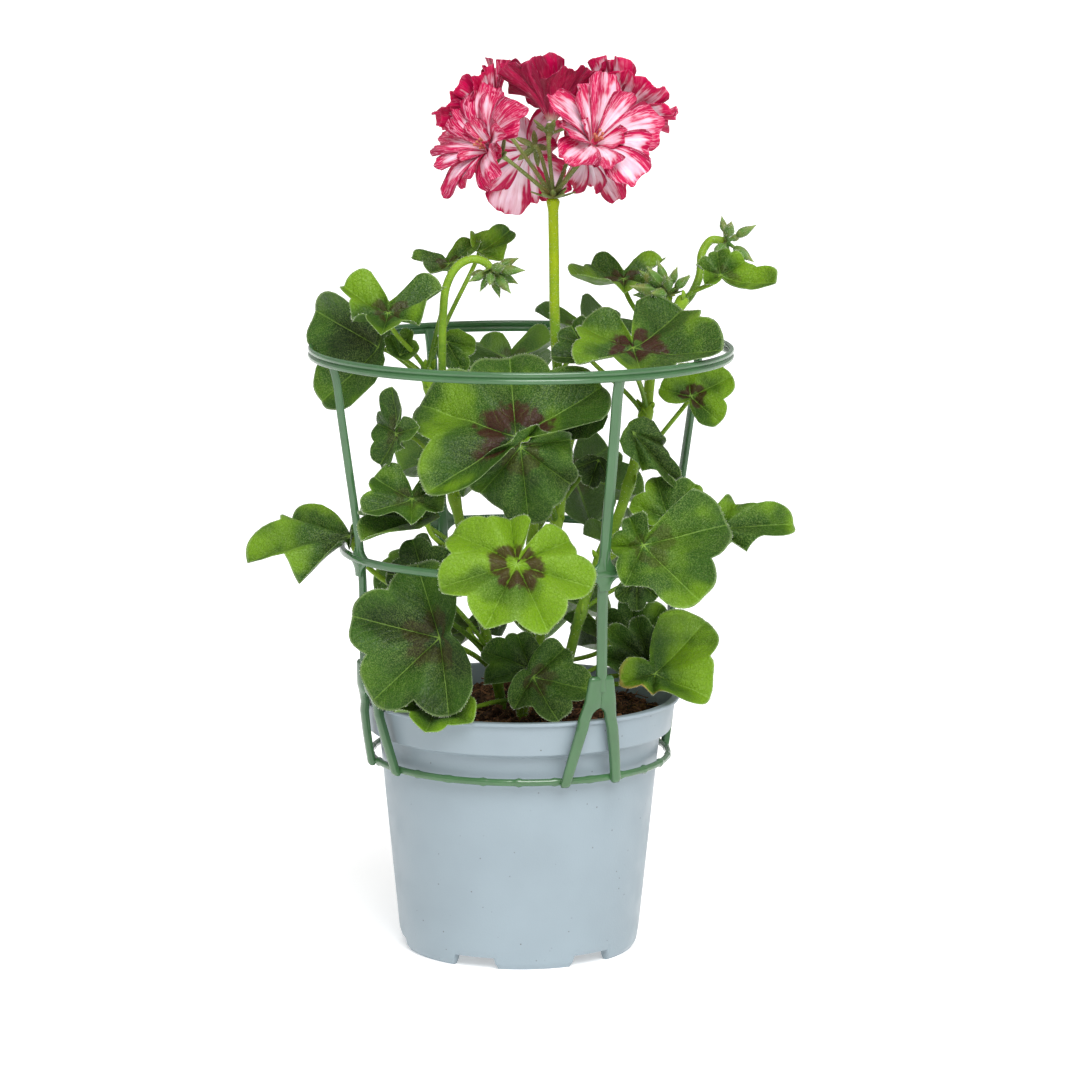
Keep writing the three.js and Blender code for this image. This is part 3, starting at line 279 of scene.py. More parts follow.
FLORETS = (
    Floret((-7, -9, 298), (-0.76, -0.55, 0.48), 20, 26, 100, 0.12),
    Floret((-5, 7, 305), (-0.85, 0.25, 0.86), 54, 24, 44, 0.25),
    Floret((10, 2, 305), (0.15, 0.37, 0.97), 8, 27, 54, 0.85),
    Floret((5, 12, 300), (-0.45, 0.88, -0.3), 55, 26, 86, -0.12),
    Floret((20, 12, 299), (0.6, 0.85, -0.1), 10, 24, 72, 0.0),
    Floret((24, -8, 300), (0.38, -0.75, 0.56), 53, 27, 82, 0.06),
    Floret((29, 4, 304), (0.66, 0.26, 0.82), 11, 26, 43, 0.0),
)
PETAL_COUNT = 5
CUP_HEIGHT = 3.0                 # of the calyx, above which the petals begin
PETAL_START = (0.9, 1.6)         # a petal's foot: from the axis, and above the cup
START_LEAN = 22.0
PETAL_OVERLAP = 0.22
HALF_OPEN = 60.0                 # opened less than this, a floret's second ring of petals spreads wider
SEPAL_LENGTH = 6.9
BRACT_COUNT = 6


@dataclass(frozen=True)
class BudSpray:
    """A spray of closed buds. path: its stalk up to the umbel. looks, spread: the way the cluster points,
    and the widest angle of a bud from it. count, length, reach: of the buds and of their pedicels."""

    path: tuple
    count: int
    length: float
    reach: float
    looks: tuple
    spread: float


BUD_SPRAYS = {
    "left": BudSpray(
        ((-31, -12, 203), (-29.2, -16, 213), (-28.7, -15, 239), (-27.3, -14, 251), (-23.3, -13, 258),
         (-18, -12, 260.5), (-13, -11, 259), (-11, -11, 256.5)), 12, 10, 3.6, (0.3, -0.15, -1), 100),
    "right": BudSpray(
        ((49, 0, 223), (52, 1, 230), (54, 2.5, 236), (54.5, 3, 246)), 12, 11.5, 4.5, (-0.3, -0.1, 0.95), 80),
    "top": BudSpray(
        ((57, 1, 240), (63, 9, 245), (66.5, 15, 252), (67.5, 19, 260), (71, 20.5, 264.5), (76.5, 20, 264)),
        7, 11, 4.5, (0.97, -0.1, 0.12), 110),
}
SPRAY_BRACT_COUNT = 7
GOLDEN_ANGLE = 137.5
BUD_LENGTH = 9.6                 # of the bud whose radii these are, by shares of its length
BUD_RADII = ((0, 0.5), (0.06, 1.25), (0.2, 1.85), (0.4, 1.95), (0.62, 1.4), (0.85, 0.55), (1, 0.1))
BUD_HAIR_RADII = ((0, 0.6), (0.2, 1.7), (0.4, 1.9), (0.85, 0.7), (1, 0.2))

# Numbers of hairs.
MAIN_STEM_HAIRS, PEDUNCLE_HAIRS, BUD_STALK_HAIRS, PEDICEL_HAIRS = 500, 900, 260, 90
CALYX_HAIRS, BUD_HAIRS = 160, 60
EDGE_HAIRS_PER_MM, PETIOLE_HAIRS_PER_MM = 1.5, 1.6
HAIR_WIDTH = 0.07


# ---- Arrays: directions, curves and noise ----


def unit(vectors):
    """Vectors divided by their lengths."""
    return vectors / np.maximum(np.linalg.norm(vectors, axis=-1, keepdims=True), 1e-12)


def polar(bearing, radius, z):
    """Points at bearings, radii and heights: (radius sine, minus radius cosine, height)."""
    turn = np.radians(bearing)
    return np.stack(np.broadcast_arrays(radius * np.sin(turn), -radius * np.cos(turn), z), -1).astype(float)


def eased(x, low, high):
    """0 below low, 1 above high, and a smooth step between."""
    t = np.clip((x - low) / (high - low), 0, 1)
    return t * t * (3 - 2 * t)


def along_table(table, z):
    """Straight lines through (z, value) pairs, read at heights z."""
    rows = np.array(table, float)
    rows = rows[rows[:, 0].argsort()]
    return np.interp(z, rows[:, 0], rows[:, 1])


def curve_through(points, count):
    """A centripetal Catmull-Rom curve: each span is the cubic whose end slopes come from its neighbours,
    weighted by the square roots of the spans."""
    knots = np.asarray(points, float)
    spans = len(knots) - 1
    knots = np.vstack([2 * knots[0] - knots[1], knots, 2 * knots[-1] - knots[-2]])
    t = np.linspace(0, spans, count)
    i = np.minimum(t.astype(int), spans - 1)
    w = (t - i)[:, None]
    a, b, c, d = knots[i], knots[i + 1], knots[i + 2], knots[i + 3]
    pairs = ((a, b), (b, c), (c, d))
    ab, bc, cd = (np.sqrt(np.linalg.norm(q - p, axis=1, keepdims=True)) for p, q in pairs)
    leave = ((b - a) / ab - (c - a) / (ab + bc) + (c - b) / bc) * bc
    arrive = ((c - b) / bc - (d - b) / (bc + cd) + (d - c) / cd) * bc
    return b + leave * w + (3 * (c - b) - 2 * leave - arrive) * w**2 + (2 * (b - c) + leave + arrive) * w**3


def bezier(a, b, c, d, count):
    """A cubic Bezier curve from a to d, pulled by b and c."""
    t = np.linspace(0, 1, count)[:, None]
    return (1 - t) ** 3 * a + 3 * t * (1 - t) ** 2 * b + 3 * t**2 * (1 - t) * c + t**3 * d


def lattice_noise(x, y, cell, seed):
    """Smooth random heights from -1 to 1: random values on a square lattice, blended by a smooth step."""
    size = 64
    table = np.random.default_rng(seed).uniform(-1, 1, (size, size))
    place = np.stack([x, y], -1) / cell + 1000.0
    corner = np.floor(place).astype(int)
    u, v = np.moveaxis(eased(place - corner, 0, 1), -1, 0)
    i, j = np.moveaxis(corner % size, -1, 0)
    near = table[i, j] * (1 - u) + table[(i + 1) % size, j] * u
    far = table[i, (j + 1) % size] * (1 - u) + table[(i + 1) % size, (j + 1) % size] * u
    return near * (1 - v) + far * v


def spokes(towards, turn=0.0):
    """An axis, and a function that gives the directions across it at angles in degrees."""
    axis = unit(np.array(towards, float))
    helper = np.array([0.0, 1.0, 0.0]) if abs(axis[2]) > 0.9 else np.array([0.0, 0.0, 1.0])
    first = unit(helper - axis * (helper @ axis))
    second = np.cross(axis, first)

    def spoke(degrees):
        angle = np.radians(np.asarray(degrees, float) + turn)[..., None]
        return first * np.cos(angle) + second * np.sin(angle)

    return axis, spoke


# ---- Surfaces: closed grids of points ----


class Surface:
    """A closed surface: points, polygons as arrays of point numbers, and named marks, one value for each
    point. Its polygons are turned to face outwards."""

    def __init__(self, points, polygons, **marks):
        self.points = np.asarray(points, float).reshape(-1, 3)
        self.polygons = list(polygons)
        self.marks = {name: np.array(np.broadcast_to(m, len(self.points))) for name, m in marks.items()}
        if self.volume() < 0:
            self.polygons = [p[:, ::-1] for p in self.polygons]

    def volume(self):
        """Six times the volume: the sum of the triple products of each polygon's triangles."""
        total = 0.0
        for polygons in self.polygons:
            corners = self.points[polygons]
            for k in range(1, polygons.shape[1] - 1):
                total += np.einsum("ij,ij->", corners[:, 0], np.cross(corners[:, k], corners[:, k + 1]))
        return total


def quads(rows, columns, wrapped=False):
    """Point numbers of a grid's quads, row by row. A wrapped grid's last column joins its first."""
    row = np.arange(rows - 1)[:, None] * columns
    column = np.arange(columns if wrapped else columns - 1)[None]
    a, b = row + column, row + (column + 1) % columns
    return np.stack([a, b, b + columns, a + columns], -1).reshape(-1, 4)


def fan(centre, ring):
    """Triangles from a point to each pair of neighbours round a ring."""
    return np.stack([np.full(len(ring), centre), ring, np.roll(ring, -1)], -1)


def capped(points, **marks):
    """A tube-like grid, wrapped round its columns, closed at both ends on the middles of its end rows."""
    rows, columns = points.shape[:2]
    ends = points[[0, -1]].mean(1)
    count = rows * columns
    rings = np.arange(count).reshape(rows, columns)
    polygons = [quads(rows, columns, True), fan(count, rings[0])[:, ::-1], fan(count + 1, rings[-1])]
    full = {}
    for name, mark in marks.items():
        mark = np.broadcast_to(mark, (rows, columns))
        full[name] = np.concatenate([mark.ravel(), mark[0, :1], mark[-1, :1]])
    return Surface(np.concatenate([points.reshape(-1, 3), ends]), polygons, **full)


def looped(points, **marks):
    """A ring-like grid, wrapped round its rows and its columns."""
    rows, columns = points.shape[:2]
    closed = quads(rows + 1, columns, True) % (rows * columns)
    full = {name: np.broadcast_to(mark, (rows, columns)).ravel() for name, mark in marks.items()}
    return Surface(points.reshape(-1, 3), [closed], **full)


def directions_along(path):
    """Two directions across a path: the second is square to it, and near the axis that it runs along least."""
    tangent = unit(np.gradient(path, axis=0))
    axis = np.eye(3)[np.abs(tangent).max(0).argmin()]
    across = unit(np.cross(tangent, axis))
    return across, np.cross(across, tangent)


def tube(path, radius, sides=14, **marks):
    """A circle carried along a path: path + radius (cosine across + sine up), with a radius for each row."""
    across, up = directions_along(path)
    turn = np.linspace(0, 2 * np.pi, sides, endpoint=False)
    radius = np.broadcast_to(radius, len(path))[:, None, None]
    around = np.cos(turn)[None, :, None] * across[:, None] + np.sin(turn)[None, :, None] * up[:, None]
    steps = np.linalg.norm(np.diff(path, axis=0), axis=1)
    along = np.concatenate([[0], np.cumsum(steps)]) / steps.sum()
    marks = {name: np.reshape(m, (-1, 1)) for name, m in marks.items()}
    return capped(path[:, None] + radius * around, along=along[:, None], **marks)


def domed(path, radius):
    """Radii for a path whose last rows close like a dome."""
    radius = np.array(np.broadcast_to(radius, len(path)), float)
    left = np.linalg.norm(path - path[-1], axis=1)
    inside = left < radius
    radius[inside] = np.sqrt(np.maximum(radius[inside] ** 2 - (radius[inside] - left[inside]) ** 2, 1e-4))
    return radius


def two_sided(points, polygons, rim, thickness, **marks):
    """A thin blade: its middle surface moved half its thickness along the normals either way, and joined
    round the rim, a list of point numbers in order. The mark under is 1 on the lower face."""
    normals = np.zeros_like(points)
    for faces in polygons:
        corners = points[faces]
        face_normals = np.cross(corners[:, 2] - corners[:, 0], corners[:, -1] - corners[:, 1])
        for k in range(faces.shape[1]):
            np.add.at(normals, faces[:, k], face_normals)
    normals = unit(normals)
    lift = 0.5 * np.broadcast_to(thickness, len(points))[:, None] * normals
    count = len(points)
    after = np.roll(rim, -1)
    side = np.stack([rim, rim + count, after + count, after], -1)
    whole = list(polygons) + [p[:, ::-1] + count for p in polygons] + [side]
    full = {name: np.tile(np.broadcast_to(m, count), 2) for name, m in marks.items()}
    full["under"] = np.repeat([0.0, 1.0], count)
    return Surface(np.concatenate([points + lift, points - lift]), whole, **full)


def rectangle_rim(rows, columns):
    """Point numbers round the edge of a grid, in the order in which its quads turn."""
    grid = np.arange(rows * columns).reshape(rows, columns)
    return np.concatenate([grid[0, :-1], grid[:-1, -1], grid[-1, :0:-1], grid[:0:-1, 0]])


def blade(points, thickness, **marks):
    """A thin blade over a grid of rows and columns, as two_sided makes it."""
    rows, columns = points.shape[:2]
    full = {name: np.broadcast_to(m, (rows, columns)).ravel() for name, m in marks.items()}
    if np.ndim(thickness):
        thickness = np.broadcast_to(thickness, (rows, columns)).ravel()
    faces = [quads(rows, columns)]
    return two_sided(points.reshape(-1, 3), faces, rectangle_rim(rows, columns), thickness, **full)


def pointed_blade(foot, forward, normal, length, width, bend):
    """A sepal, bract or stipule: it runs length forward and bends up by the square of the way, its width
    swells and tapers to a point, and its middle is sunk."""
    way = np.linspace(0, 1, 11)[:, None, None]
    side = np.linspace(-1, 1, 7)[None, :, None]
    half = 0.5 * width * (0.55 + 1.7 * way) * np.maximum(1 - way, 0.012) ** 0.85
    across = np.cross(forward, normal)
    height = bend * length * way**2 - 0.25 * half * (1 - side**2)
    points = foot + forward * length * way + across * half * side + normal * height
    return blade(points, 0.45, along=way[..., 0])


def star_blade(foot, out, axis, rise, length, width, bend):
    """A pointed blade that leaves an axis: outwards plus a share of the axis, with its upper face to it."""
    forward = unit(out + rise * axis)
    upper = unit(np.cross(forward, np.cross(axis, forward)))
    return pointed_blade(foot, forward, upper, length, width, bend)


def hairs(roots, directions, length):
    """Fine hairs: a slim three-sided spike for each root, along its direction."""
    count = len(roots)
    forward = unit(directions)
    helper = np.where(np.abs(forward[:, 2:]) > 0.9, [[1.0, 0.0, 0.0]], [[0.0, 0.0, 1.0]])
    first = unit(np.cross(forward, helper))
    second = np.cross(forward, first)
    turn = np.radians([0, 120, 240])[None, :, None]
    base = roots[:, None] + HAIR_WIDTH * (np.cos(turn) * first[:, None] + np.sin(turn) * second[:, None])
    tip = roots[:, None] + forward[:, None] * np.reshape(length, (-1, 1, 1))
    points = np.concatenate([base, tip], 1)
    corners = np.array([[0, 2, 1], [0, 1, 3], [1, 2, 3], [2, 0, 3]])
    return Surface(points, [(np.arange(count)[:, None, None] * 4 + corners).reshape(-1, 3)])


def tube_hairs(path, radius, count, length, draw):
    """Hairs that stand on a tube, at random places along and round it."""
    across, up = directions_along(path)
    row = draw.integers(1, len(path) - 1, count)
    turn = draw.uniform(0, 2 * np.pi, count)[:, None]
    out = np.cos(turn) * across[row] + np.sin(turn) * up[row]
    radius = np.broadcast_to(radius, len(path))[row][:, None]
    lean = draw.normal(0, 0.35, (count, 3))
    roots = path[row] + 0.92 * radius * out + draw.normal(0, 0.3, (count, 3)) * np.array([0.2, 0.2, 1])
    return hairs(roots, out + lean, length * draw.uniform(0.6, 1.2, count))


def edge_hairs(rim, outward, normal, length, draw):
    """Hairs at random places round a blade's edge, which lean a little to its upper face."""
    count = int(EDGE_HAIRS_PER_MM * np.linalg.norm(np.diff(rim, axis=0), axis=1).sum())
    pick, slide = draw.integers(0, len(rim), count), draw.uniform(0, 1, (count, 1))
    roots = rim[pick] * slide + rim[(pick + 1) % len(rim)] * (1 - slide)
    leaning = outward[pick] + draw.normal(0, 0.3, (count, 3)) + 0.2 * normal
    return hairs(roots, leaning, draw.uniform(0.5, 1.1, count) * length)


def make_piece(name, surfaces, material, nodes=(), sharp=None):
    """Joins surfaces into one mesh object, with their marks as point attributes. It rides on the part's
    one body, stands for the CAD nodes named, which it hides, and takes the material given."""
    starts = np.cumsum([0] + [len(s.points) for s in surfaces])
    points = np.concatenate([s.points for s in surfaces]) * MM
    faces = [polygons + start for s, start in zip(surfaces, starts) for polygons in s.polygons]
    corners = np.concatenate([polygons.ravel() for polygons in faces])
    sizes = np.concatenate([np.full(len(polygons), polygons.shape[1]) for polygons in faces])
    mesh = bpy.data.meshes.new(name)
    mesh.vertices.add(len(points))
    mesh.vertices.foreach_set("co", points.astype(np.float32).ravel())
    mesh.loops.add(len(corners))
    mesh.loops.foreach_set("vertex_index", corners.astype(np.int32))
    mesh.polygons.add(len(sizes))
    loop_starts = np.concatenate([[0], np.cumsum(sizes)[:-1]])
    mesh.polygons.foreach_set("loop_start", loop_starts.astype(np.int32))
    mesh.polygons.foreach_set("use_smooth", np.ones(len(sizes), bool))
    mesh.update(calc_edges=True)
    for mark in sorted({m for s in surfaces for m in s.marks}):
        values = np.concatenate([s.marks.get(mark, np.zeros(len(s.points))) for s in surfaces])
        mesh.attributes.new(mark, "FLOAT", "POINT").data.foreach_set("value", values.astype(np.float32))
    if sharp is not None:
        mesh.set_sharp_from_angle(angle=math.radians(sharp))
    if mesh.validate():
        raise RuntimeError(f"the mesh of {name} had faults")
    mesh.materials.append(material)
    piece = bpy.data.objects.new(name, mesh)
    bpy.context.scene.collection.objects.link(piece)
    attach(piece, "root")
    if nodes:
        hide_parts(*nodes)
    return piece


# ---- Materials ----


def linear(red, green, blue):
    """A colour as the eye sees it, 0 to 255, turned into the linear values that a shader takes."""
    shares = (c / 255 for c in (red, green, blue))
    return tuple(c / 12.92 if c < 0.0404 else ((c + 0.055) / 1.055) ** 2.4 for c in shares)


def scaled(colour, factor):
    """A colour made darker or lighter."""
    return tuple(factor * c for c in colour)


class Shader:
    """A material with a Principled shader, built by small calls that give node sockets or numbers back."""

    def __init__(self, name, roughness=0.5, **inputs):
        self.material = bpy.data.materials.new(name)
        self.material.use_nodes = True
        self.nodes, self.links = self.material.node_tree.nodes, self.material.node_tree.links
        self.surface = self.nodes["Principled BSDF"]
        self.place = self.nodes.new("ShaderNodeTexCoord").outputs["Object"]
        self.put("Roughness", roughness)
        for key, value in inputs.items():
            self.put(key.replace("_", " "), value)

    def feed(self, socket, value):
        """Links a socket to another, or sets its own value."""
        if isinstance(value, bpy.types.NodeSocket):
            self.links.new(value, socket)
        elif isinstance(value, tuple):
            socket.default_value = value + (1.0,) * (len(socket.default_value) - len(value))
        else:
            socket.default_value = value

    def put(self, name, value):
        """Feeds an input of the Principled shader."""
        self.feed(self.surface.inputs[name], value)

    def math(self, operation, a, b=0.0):
        """What an operation makes of one or two values."""
        node = self.nodes.new("ShaderNodeMath")
        node.operation = operation
        self.feed(node.inputs[0], a)
        self.feed(node.inputs[1], b)
        return node.outputs[0]

    def add(self, total, *values):
        """The sum of values."""
        for value in values:
            total = self.math("ADD", total, value)
        return total

    def times(self, product, *values):
        """The product of values."""
        for value in values:
            product = self.math("MULTIPLY", product, value)
        return product

    def ramp(self, value, low, high, to_low=0.0, to_high=1.0):
        """A smooth step of a value between two limits."""
        node = self.nodes.new("ShaderNodeMapRange")
        node.interpolation_type = "SMOOTHSTEP"
        limits = {"From Min": low, "From Max": high, "To Min": to_low, "To Max": to_high}
        for key, number in {"Value": value, **limits}.items():
            self.feed(node.inputs[key], number)
        return node.outputs[0]

    def mix(self, share, a, b):
        """The colour a turning into b as a share goes from 0 to 1."""
        node = self.nodes.new("ShaderNodeMix")
        node.data_type = "RGBA"
        for socket, value in zip((node.inputs[0], node.inputs[6], node.inputs[7]), (share, a, b)):
            self.feed(socket, value)
        return node.outputs[2]

    def mark(self, name):
        """A point attribute."""
        node = self.nodes.new("ShaderNodeAttribute")
        node.attribute_name = name
        return node.outputs["Fac"]

    def vector(self, x, y, z):
        """A place in a pattern, from three values."""
        node = self.nodes.new("ShaderNodeCombineXYZ")
        for socket, value in zip(node.inputs, (x, y, z)):
            self.feed(socket, value)
        return node.outputs[0]

    def noise(self, per_mm, detail=2.0, at=None, roughness=0.5):
        """Cloudy noise from 0 to 1, with so many waves to a millimetre, in object space unless told where."""
        node = self.nodes.new("ShaderNodeTexNoise")
        node.inputs["Scale"].default_value = per_mm if at else per_mm / MM
        node.inputs["Detail"].default_value = detail
        node.inputs["Roughness"].default_value = roughness
        self.feed(node.inputs["Vector"], at or self.place)
        return node.outputs["Fac"]

    def cells(self, per_mm, feature="F1"):
        """The distance to the nearest of scattered points, or to the edge between two of them."""
        node = self.nodes.new("ShaderNodeTexVoronoi")
        node.feature = feature
        node.inputs["Scale"].default_value = per_mm / MM
        self.feed(node.inputs["Vector"], self.place)
        return node.outputs["Distance"]

    def bump(self, height, depth):
        """Raises the surface by a height times so many millimetres."""
        node = self.nodes.new("ShaderNodeBump")
        node.inputs["Distance"].default_value = depth * MM
        self.feed(node.inputs["Height"], height)
        self.put("Normal", node.outputs[0])


def pot_material(colour):
    """Grey-blue moulded plastic with fine dark specks, faint smudges and a grain."""
    s = Shader("pot plastic", 0.42)
    speck = s.ramp(s.cells(0.24), 0.055, 0.085, 1.0, 0.0)
    seldom = s.times(speck, s.ramp(s.noise(0.1, 1.0), 0.4, 0.55))
    smudge = s.ramp(s.noise(0.035, 3.0), 0.35, 0.75)
    base = s.mix(s.times(smudge, 0.35), colour, scaled(colour, 0.82))
    s.put("Base Color", s.mix(s.times(seldom, 0.75), base, linear(84, 80, 74)))
    s.put("Roughness", s.ramp(s.noise(0.08), 0.3, 0.7, 0.36, 0.5))
    s.bump(s.noise(1.5, 2.0), 0.05)
    return s.material


def cage_material(colour):
    """Sea-green moulded plastic that lets a little light in, with faint flow marks."""
    s = Shader("cage plastic", 0.2, Subsurface_Weight=0.2, Subsurface_Scale=0.003, Specular_IOR_Level=0.7)
    s.put("Subsurface Radius", (0.5, 1.0, 0.6))
    shade = s.ramp(s.noise(0.06, 3.0), 0.3, 0.7)
    s.put("Base Color", s.mix(shade, colour, scaled(colour, 1.18)))
    s.put("Roughness", s.ramp(s.noise(0.3), 0.3, 0.7, 0.14, 0.26))
    s.bump(s.noise(0.5, 3.0), 0.02)
    return s.material


def peat_material():
    """Dark brown peat, with red-brown and pale bits."""
    s = Shader("peat", 0.95, Specular_IOR_Level=0.2)
    clod = s.ramp(s.noise(0.35, 4.0), 0.35, 0.7)
    dark = s.mix(clod, linear(30, 20, 15), linear(84, 58, 40))
    bits = s.ramp(s.noise(1.1, 2.0), 0.6, 0.68)
    tone = s.mix(bits, dark, linear(128, 88, 60))
    s.put("Base Color", s.mix(s.mark("tone"), tone, linear(150, 108, 74)))
    s.bump(s.noise(1.4, 4.0), 0.5)
    return s.material


def leaf_material(tones, zone_colour):
    """A velvety leaf. tones are its colours from dark to bright, and painted shade darkens it towards its
    middle while painted light brightens it towards its edge. A fine pale speckle of hairs comes in patches
    that stand for a painted sheen. Pale veins run up each lobe's middle and branch off it, and a ragged
    brown band stands between them at a share of the way out. The margin is pale, partly its hairs and
    partly a painted rim light, and the lower face paler and greyer."""
    dark, middle, bright = tones
    s = Shader("leaf", 0.5, Subsurface_Weight=0.05, Subsurface_Scale=0.0015, Specular_IOR_Level=0.2)
    s.put("Subsurface Radius", (0.6, 1.0, 0.25))
    off, up, share, under = s.mark("off"), s.mark("up"), s.mark("share"), s.mark("under")
    drift = s.ramp(s.noise(0.05, 2.0), 0.34, 0.66, -0.5, 0.5)
    # painted shade and light: the share ramp darkens the blade towards its middle and lightens it towards its
    # edge
    tone = s.add(s.mark("tone"), drift, s.ramp(share, 0.0, 1.0, -0.35, 0.2))
    base = s.mix(s.ramp(tone, -1.0, 0.1), dark, s.mix(s.ramp(tone, 0.0, 1.0), middle, bright))
    # a fine pale speckle of hairs, partly painted sheen: broad patches set where the hairs seem to catch the
    # light
    hair_fleck_and_sheen = s.ramp(s.noise(2.3, 1.0), 0.42, 0.66)
    sheen_patch = s.ramp(s.noise(0.045, 2.0), 0.32, 0.68, 0.3, 0.8)
    base = s.mix(s.times(hair_fleck_and_sheen, sheen_patch), base, s.mix(0.24, base, linear(176, 204, 112)))

    # the horseshoe: broken off near the veins, with an edge that wanders
    way = s.add(share, s.ramp(s.noise(0.22, 3.0), 0.2, 0.8, -0.08, 0.08))
    band = s.times(s.ramp(way, 0.1, 0.17), s.ramp(way, 0.33, 0.43, 1.0, 0.0))
    clear = s.ramp(s.add(off, s.ramp(s.noise(0.5, 2.0), 0.3, 0.7, -0.3, 0.3)), 0.15, 0.6)
    base = s.mix(s.times(band, clear, s.mark("zone")), base, zone_colour)

    # veins: one up the middle of the lobe, others that leave it at an angle, and a fine net
    stem = s.ramp(off, 0.12, 0.42, 1.0, 0.0)
    bend = s.ramp(s.noise(0.15), 0.2, 0.8, -1.2, 1.2)
    wave = s.math("PINGPONG", s.add(s.math("SUBTRACT", up, s.times(off, 1.15)), bend), 2.6)
    branch = s.times(s.ramp(wave, 0.08, 0.34, 1.0, 0.0), s.ramp(share, 0.12, 0.3))
    net = s.ramp(s.cells(0.62, feature="DISTANCE_TO_EDGE"), 0.02, 0.1, 1.0, 0.0)
    pale = s.math("MAXIMUM", s.times(stem, s.ramp(share, 0.2, 0.9, 0.7, 0.3)), s.times(branch, 0.09))
    pale = s.math("MAXIMUM", pale, s.times(net, 0.03))
    base = s.mix(pale, base, linear(136, 172, 70))

    # the margin, paler as its hairs and as a painted rim light, where it has dried, and the lower face
    base = s.mix(s.ramp(share, 0.97, 0.99, 0.0, 0.25), base, linear(176, 198, 140))
    base = s.mix(s.times(s.mark("dry"), s.ramp(way, 0.86, 0.98)), base, linear(178, 150, 84))
    s.put("Base Color", s.mix(s.times(under, 0.35), base, linear(96, 128, 66)))
    s.put("Roughness", s.ramp(s.noise(0.7, 2.0), 0.3, 0.7, 0.32, 0.5))
    pillow = s.times(s.ramp(wave, 0.0, 1.6), s.ramp(share, 0.1, 0.35))
    s.bump(s.add(s.times(s.noise(1.3, 3.0), 0.8), s.times(net, -0.35), s.times(pillow, 0.3)), 0.35)
    return s.material


def stalk_material(name, low, high, speck_colour):
    """A soft green stalk that goes from one colour to another along its length, with tiny specks."""
    s = Shader(name, 0.42, Subsurface_Weight=0.12, Subsurface_Scale=0.0015, Specular_IOR_Level=0.18)
    s.put("Subsurface Radius", (0.8, 1.0, 0.2))
    way = s.add(s.mark("along"), s.ramp(s.noise(0.1, 2.0), 0.3, 0.7, -0.15, 0.15))
    base = s.mix(s.ramp(way, 0.0, 1.0), low, high)
    speck = s.ramp(s.cells(1.5), 0.1, 0.2, 0.6, 0.0)
    streak = s.ramp(s.noise(1.2, 3.0), 0.35, 0.75, 0.0, 0.25)
    base = s.mix(streak, base, s.mix(0.5, base, linear(196, 210, 70)))
    s.put("Base Color", s.mix(speck, base, speck_colour))
    s.bump(s.noise(1.2, 3.0), 0.12)
    return s.material


def petal_material(margin, centre):
    """A petal with a white-pink middle, a crimson margin and streaks that run along it. Where the sum of
    side, end, streak, blotch and depth is high it is crimson, and darker still between fine pale veins,
    which show most on its back. Its foot is pale."""
    s = Shader("petal", 0.42, Subsurface_Weight=0.16, Subsurface_Scale=0.0012, Specular_IOR_Level=0.25)
    s.put("Subsurface Radius", (1.0, 0.3, 0.5))
    along, across, under = s.mark("along"), s.mark("across"), s.mark("under")
    lane = s.vector(s.times(across, 3.8), s.times(along, 1.1), s.mark("draw"))
    streak = s.math("SUBTRACT", s.noise(1.0, 4.0, at=lane, roughness=0.6), 0.5)
    blotch = s.math("SUBTRACT", s.noise(0.11, 2.0), 0.5)
    fork = s.noise(3.0, 2.0, at=lane)
    off_fork = s.math("SUBTRACT", fork, 0.5)
    side = s.times(s.math("POWER", s.math("ABSOLUTE", across), 2.6), 0.6)
    end = s.times(s.math("POWER", along, 5.0), 0.42)
    depth = s.times(s.mark("deep"), s.add(s.times(under, 0.7), 0.5))
    out = s.add(side, end, s.times(streak, 1.15), s.times(blotch, 0.9), depth, 0.14)
    rosy = s.mix(s.ramp(out, 0.0, 0.3), centre, s.mix(0.36, centre, margin))
    base = s.mix(s.ramp(out, 0.26, 0.46), rosy, margin)
    shade = s.ramp(s.add(out, s.times(off_fork, 0.8)), 0.55, 1.0, 0.0, 0.75)
    base = s.mix(shade, base, scaled(margin, 0.4))
    vein = s.ramp(s.math("ABSOLUTE", off_fork), 0.0, 0.045, 1.0, 0.0)
    base = s.mix(s.times(vein, s.add(s.times(under, 0.45), 0.1)), base, linear(244, 176, 202))
    s.put("Base Color", s.mix(s.ramp(along, 0.0, 0.16, 0.75, 0.0), base, linear(232, 222, 196)))
    s.bump(s.add(fork, s.noise(1.6, 2.0)), 0.16)
    return s.material


def bud_material(name, colour):
    """Green sepals with darker feet, paler tips and edges, and a few olive stains."""
    s = Shader(name, 0.5, Subsurface_Weight=0.08, Subsurface_Scale=0.001, Sheen_Weight=0.06,
               Specular_IOR_Level=0.3)
    s.put("Subsurface Radius", (0.7, 1.0, 0.3))
    stain = s.ramp(s.noise(0.25, 3.0), 0.4, 0.7)
    base = s.mix(stain, colour, s.mix(0.5, colour, linear(126, 104, 50)))
    base = s.mix(s.ramp(s.mark("along"), 0.55, 1.0, 0.0, 0.45), base, linear(150, 170, 90))
    base = s.mix(s.ramp(s.mark("edge"), 0.75, 1.0, 0.0, 0.4), base, linear(170, 190, 130))
    s.put("Base Color", s.mix(s.ramp(s.noise(1.8, 2.0), 0.5, 0.8, 0.0, 0.3), base, linear(190, 204, 150)))
    s.bump(s.noise(1.4, 2.0), 0.15)
    return s.material


def hair_material():
    """Pale, clear hairs."""
    return Shader("hair", 0.5, Base_Color=linear(222, 230, 208)).material


# ---- Pot and peat ----


def rounded(profile, setback, steps=4):
    """A line of points whose corners give way to arcs: parabolas that begin and end a setback away."""
    knots = np.asarray(profile, float)
    t = np.linspace(0, 1, steps + 1)[:, None]
    line = [knots[:1]]
    for before, corner, after in zip(knots, knots[1:], knots[2:]):
        ends = []
        for end in (before, after):
            span = np.linalg.norm(end - corner)
            ends.append(corner + (end - corner) / span * min(setback, 0.45 * span))
        line.append((1 - t) ** 2 * ends[0] + 2 * t * (1 - t) * corner + t**2 * ends[1])
    return np.concatenate(line + [knots[-1:]])


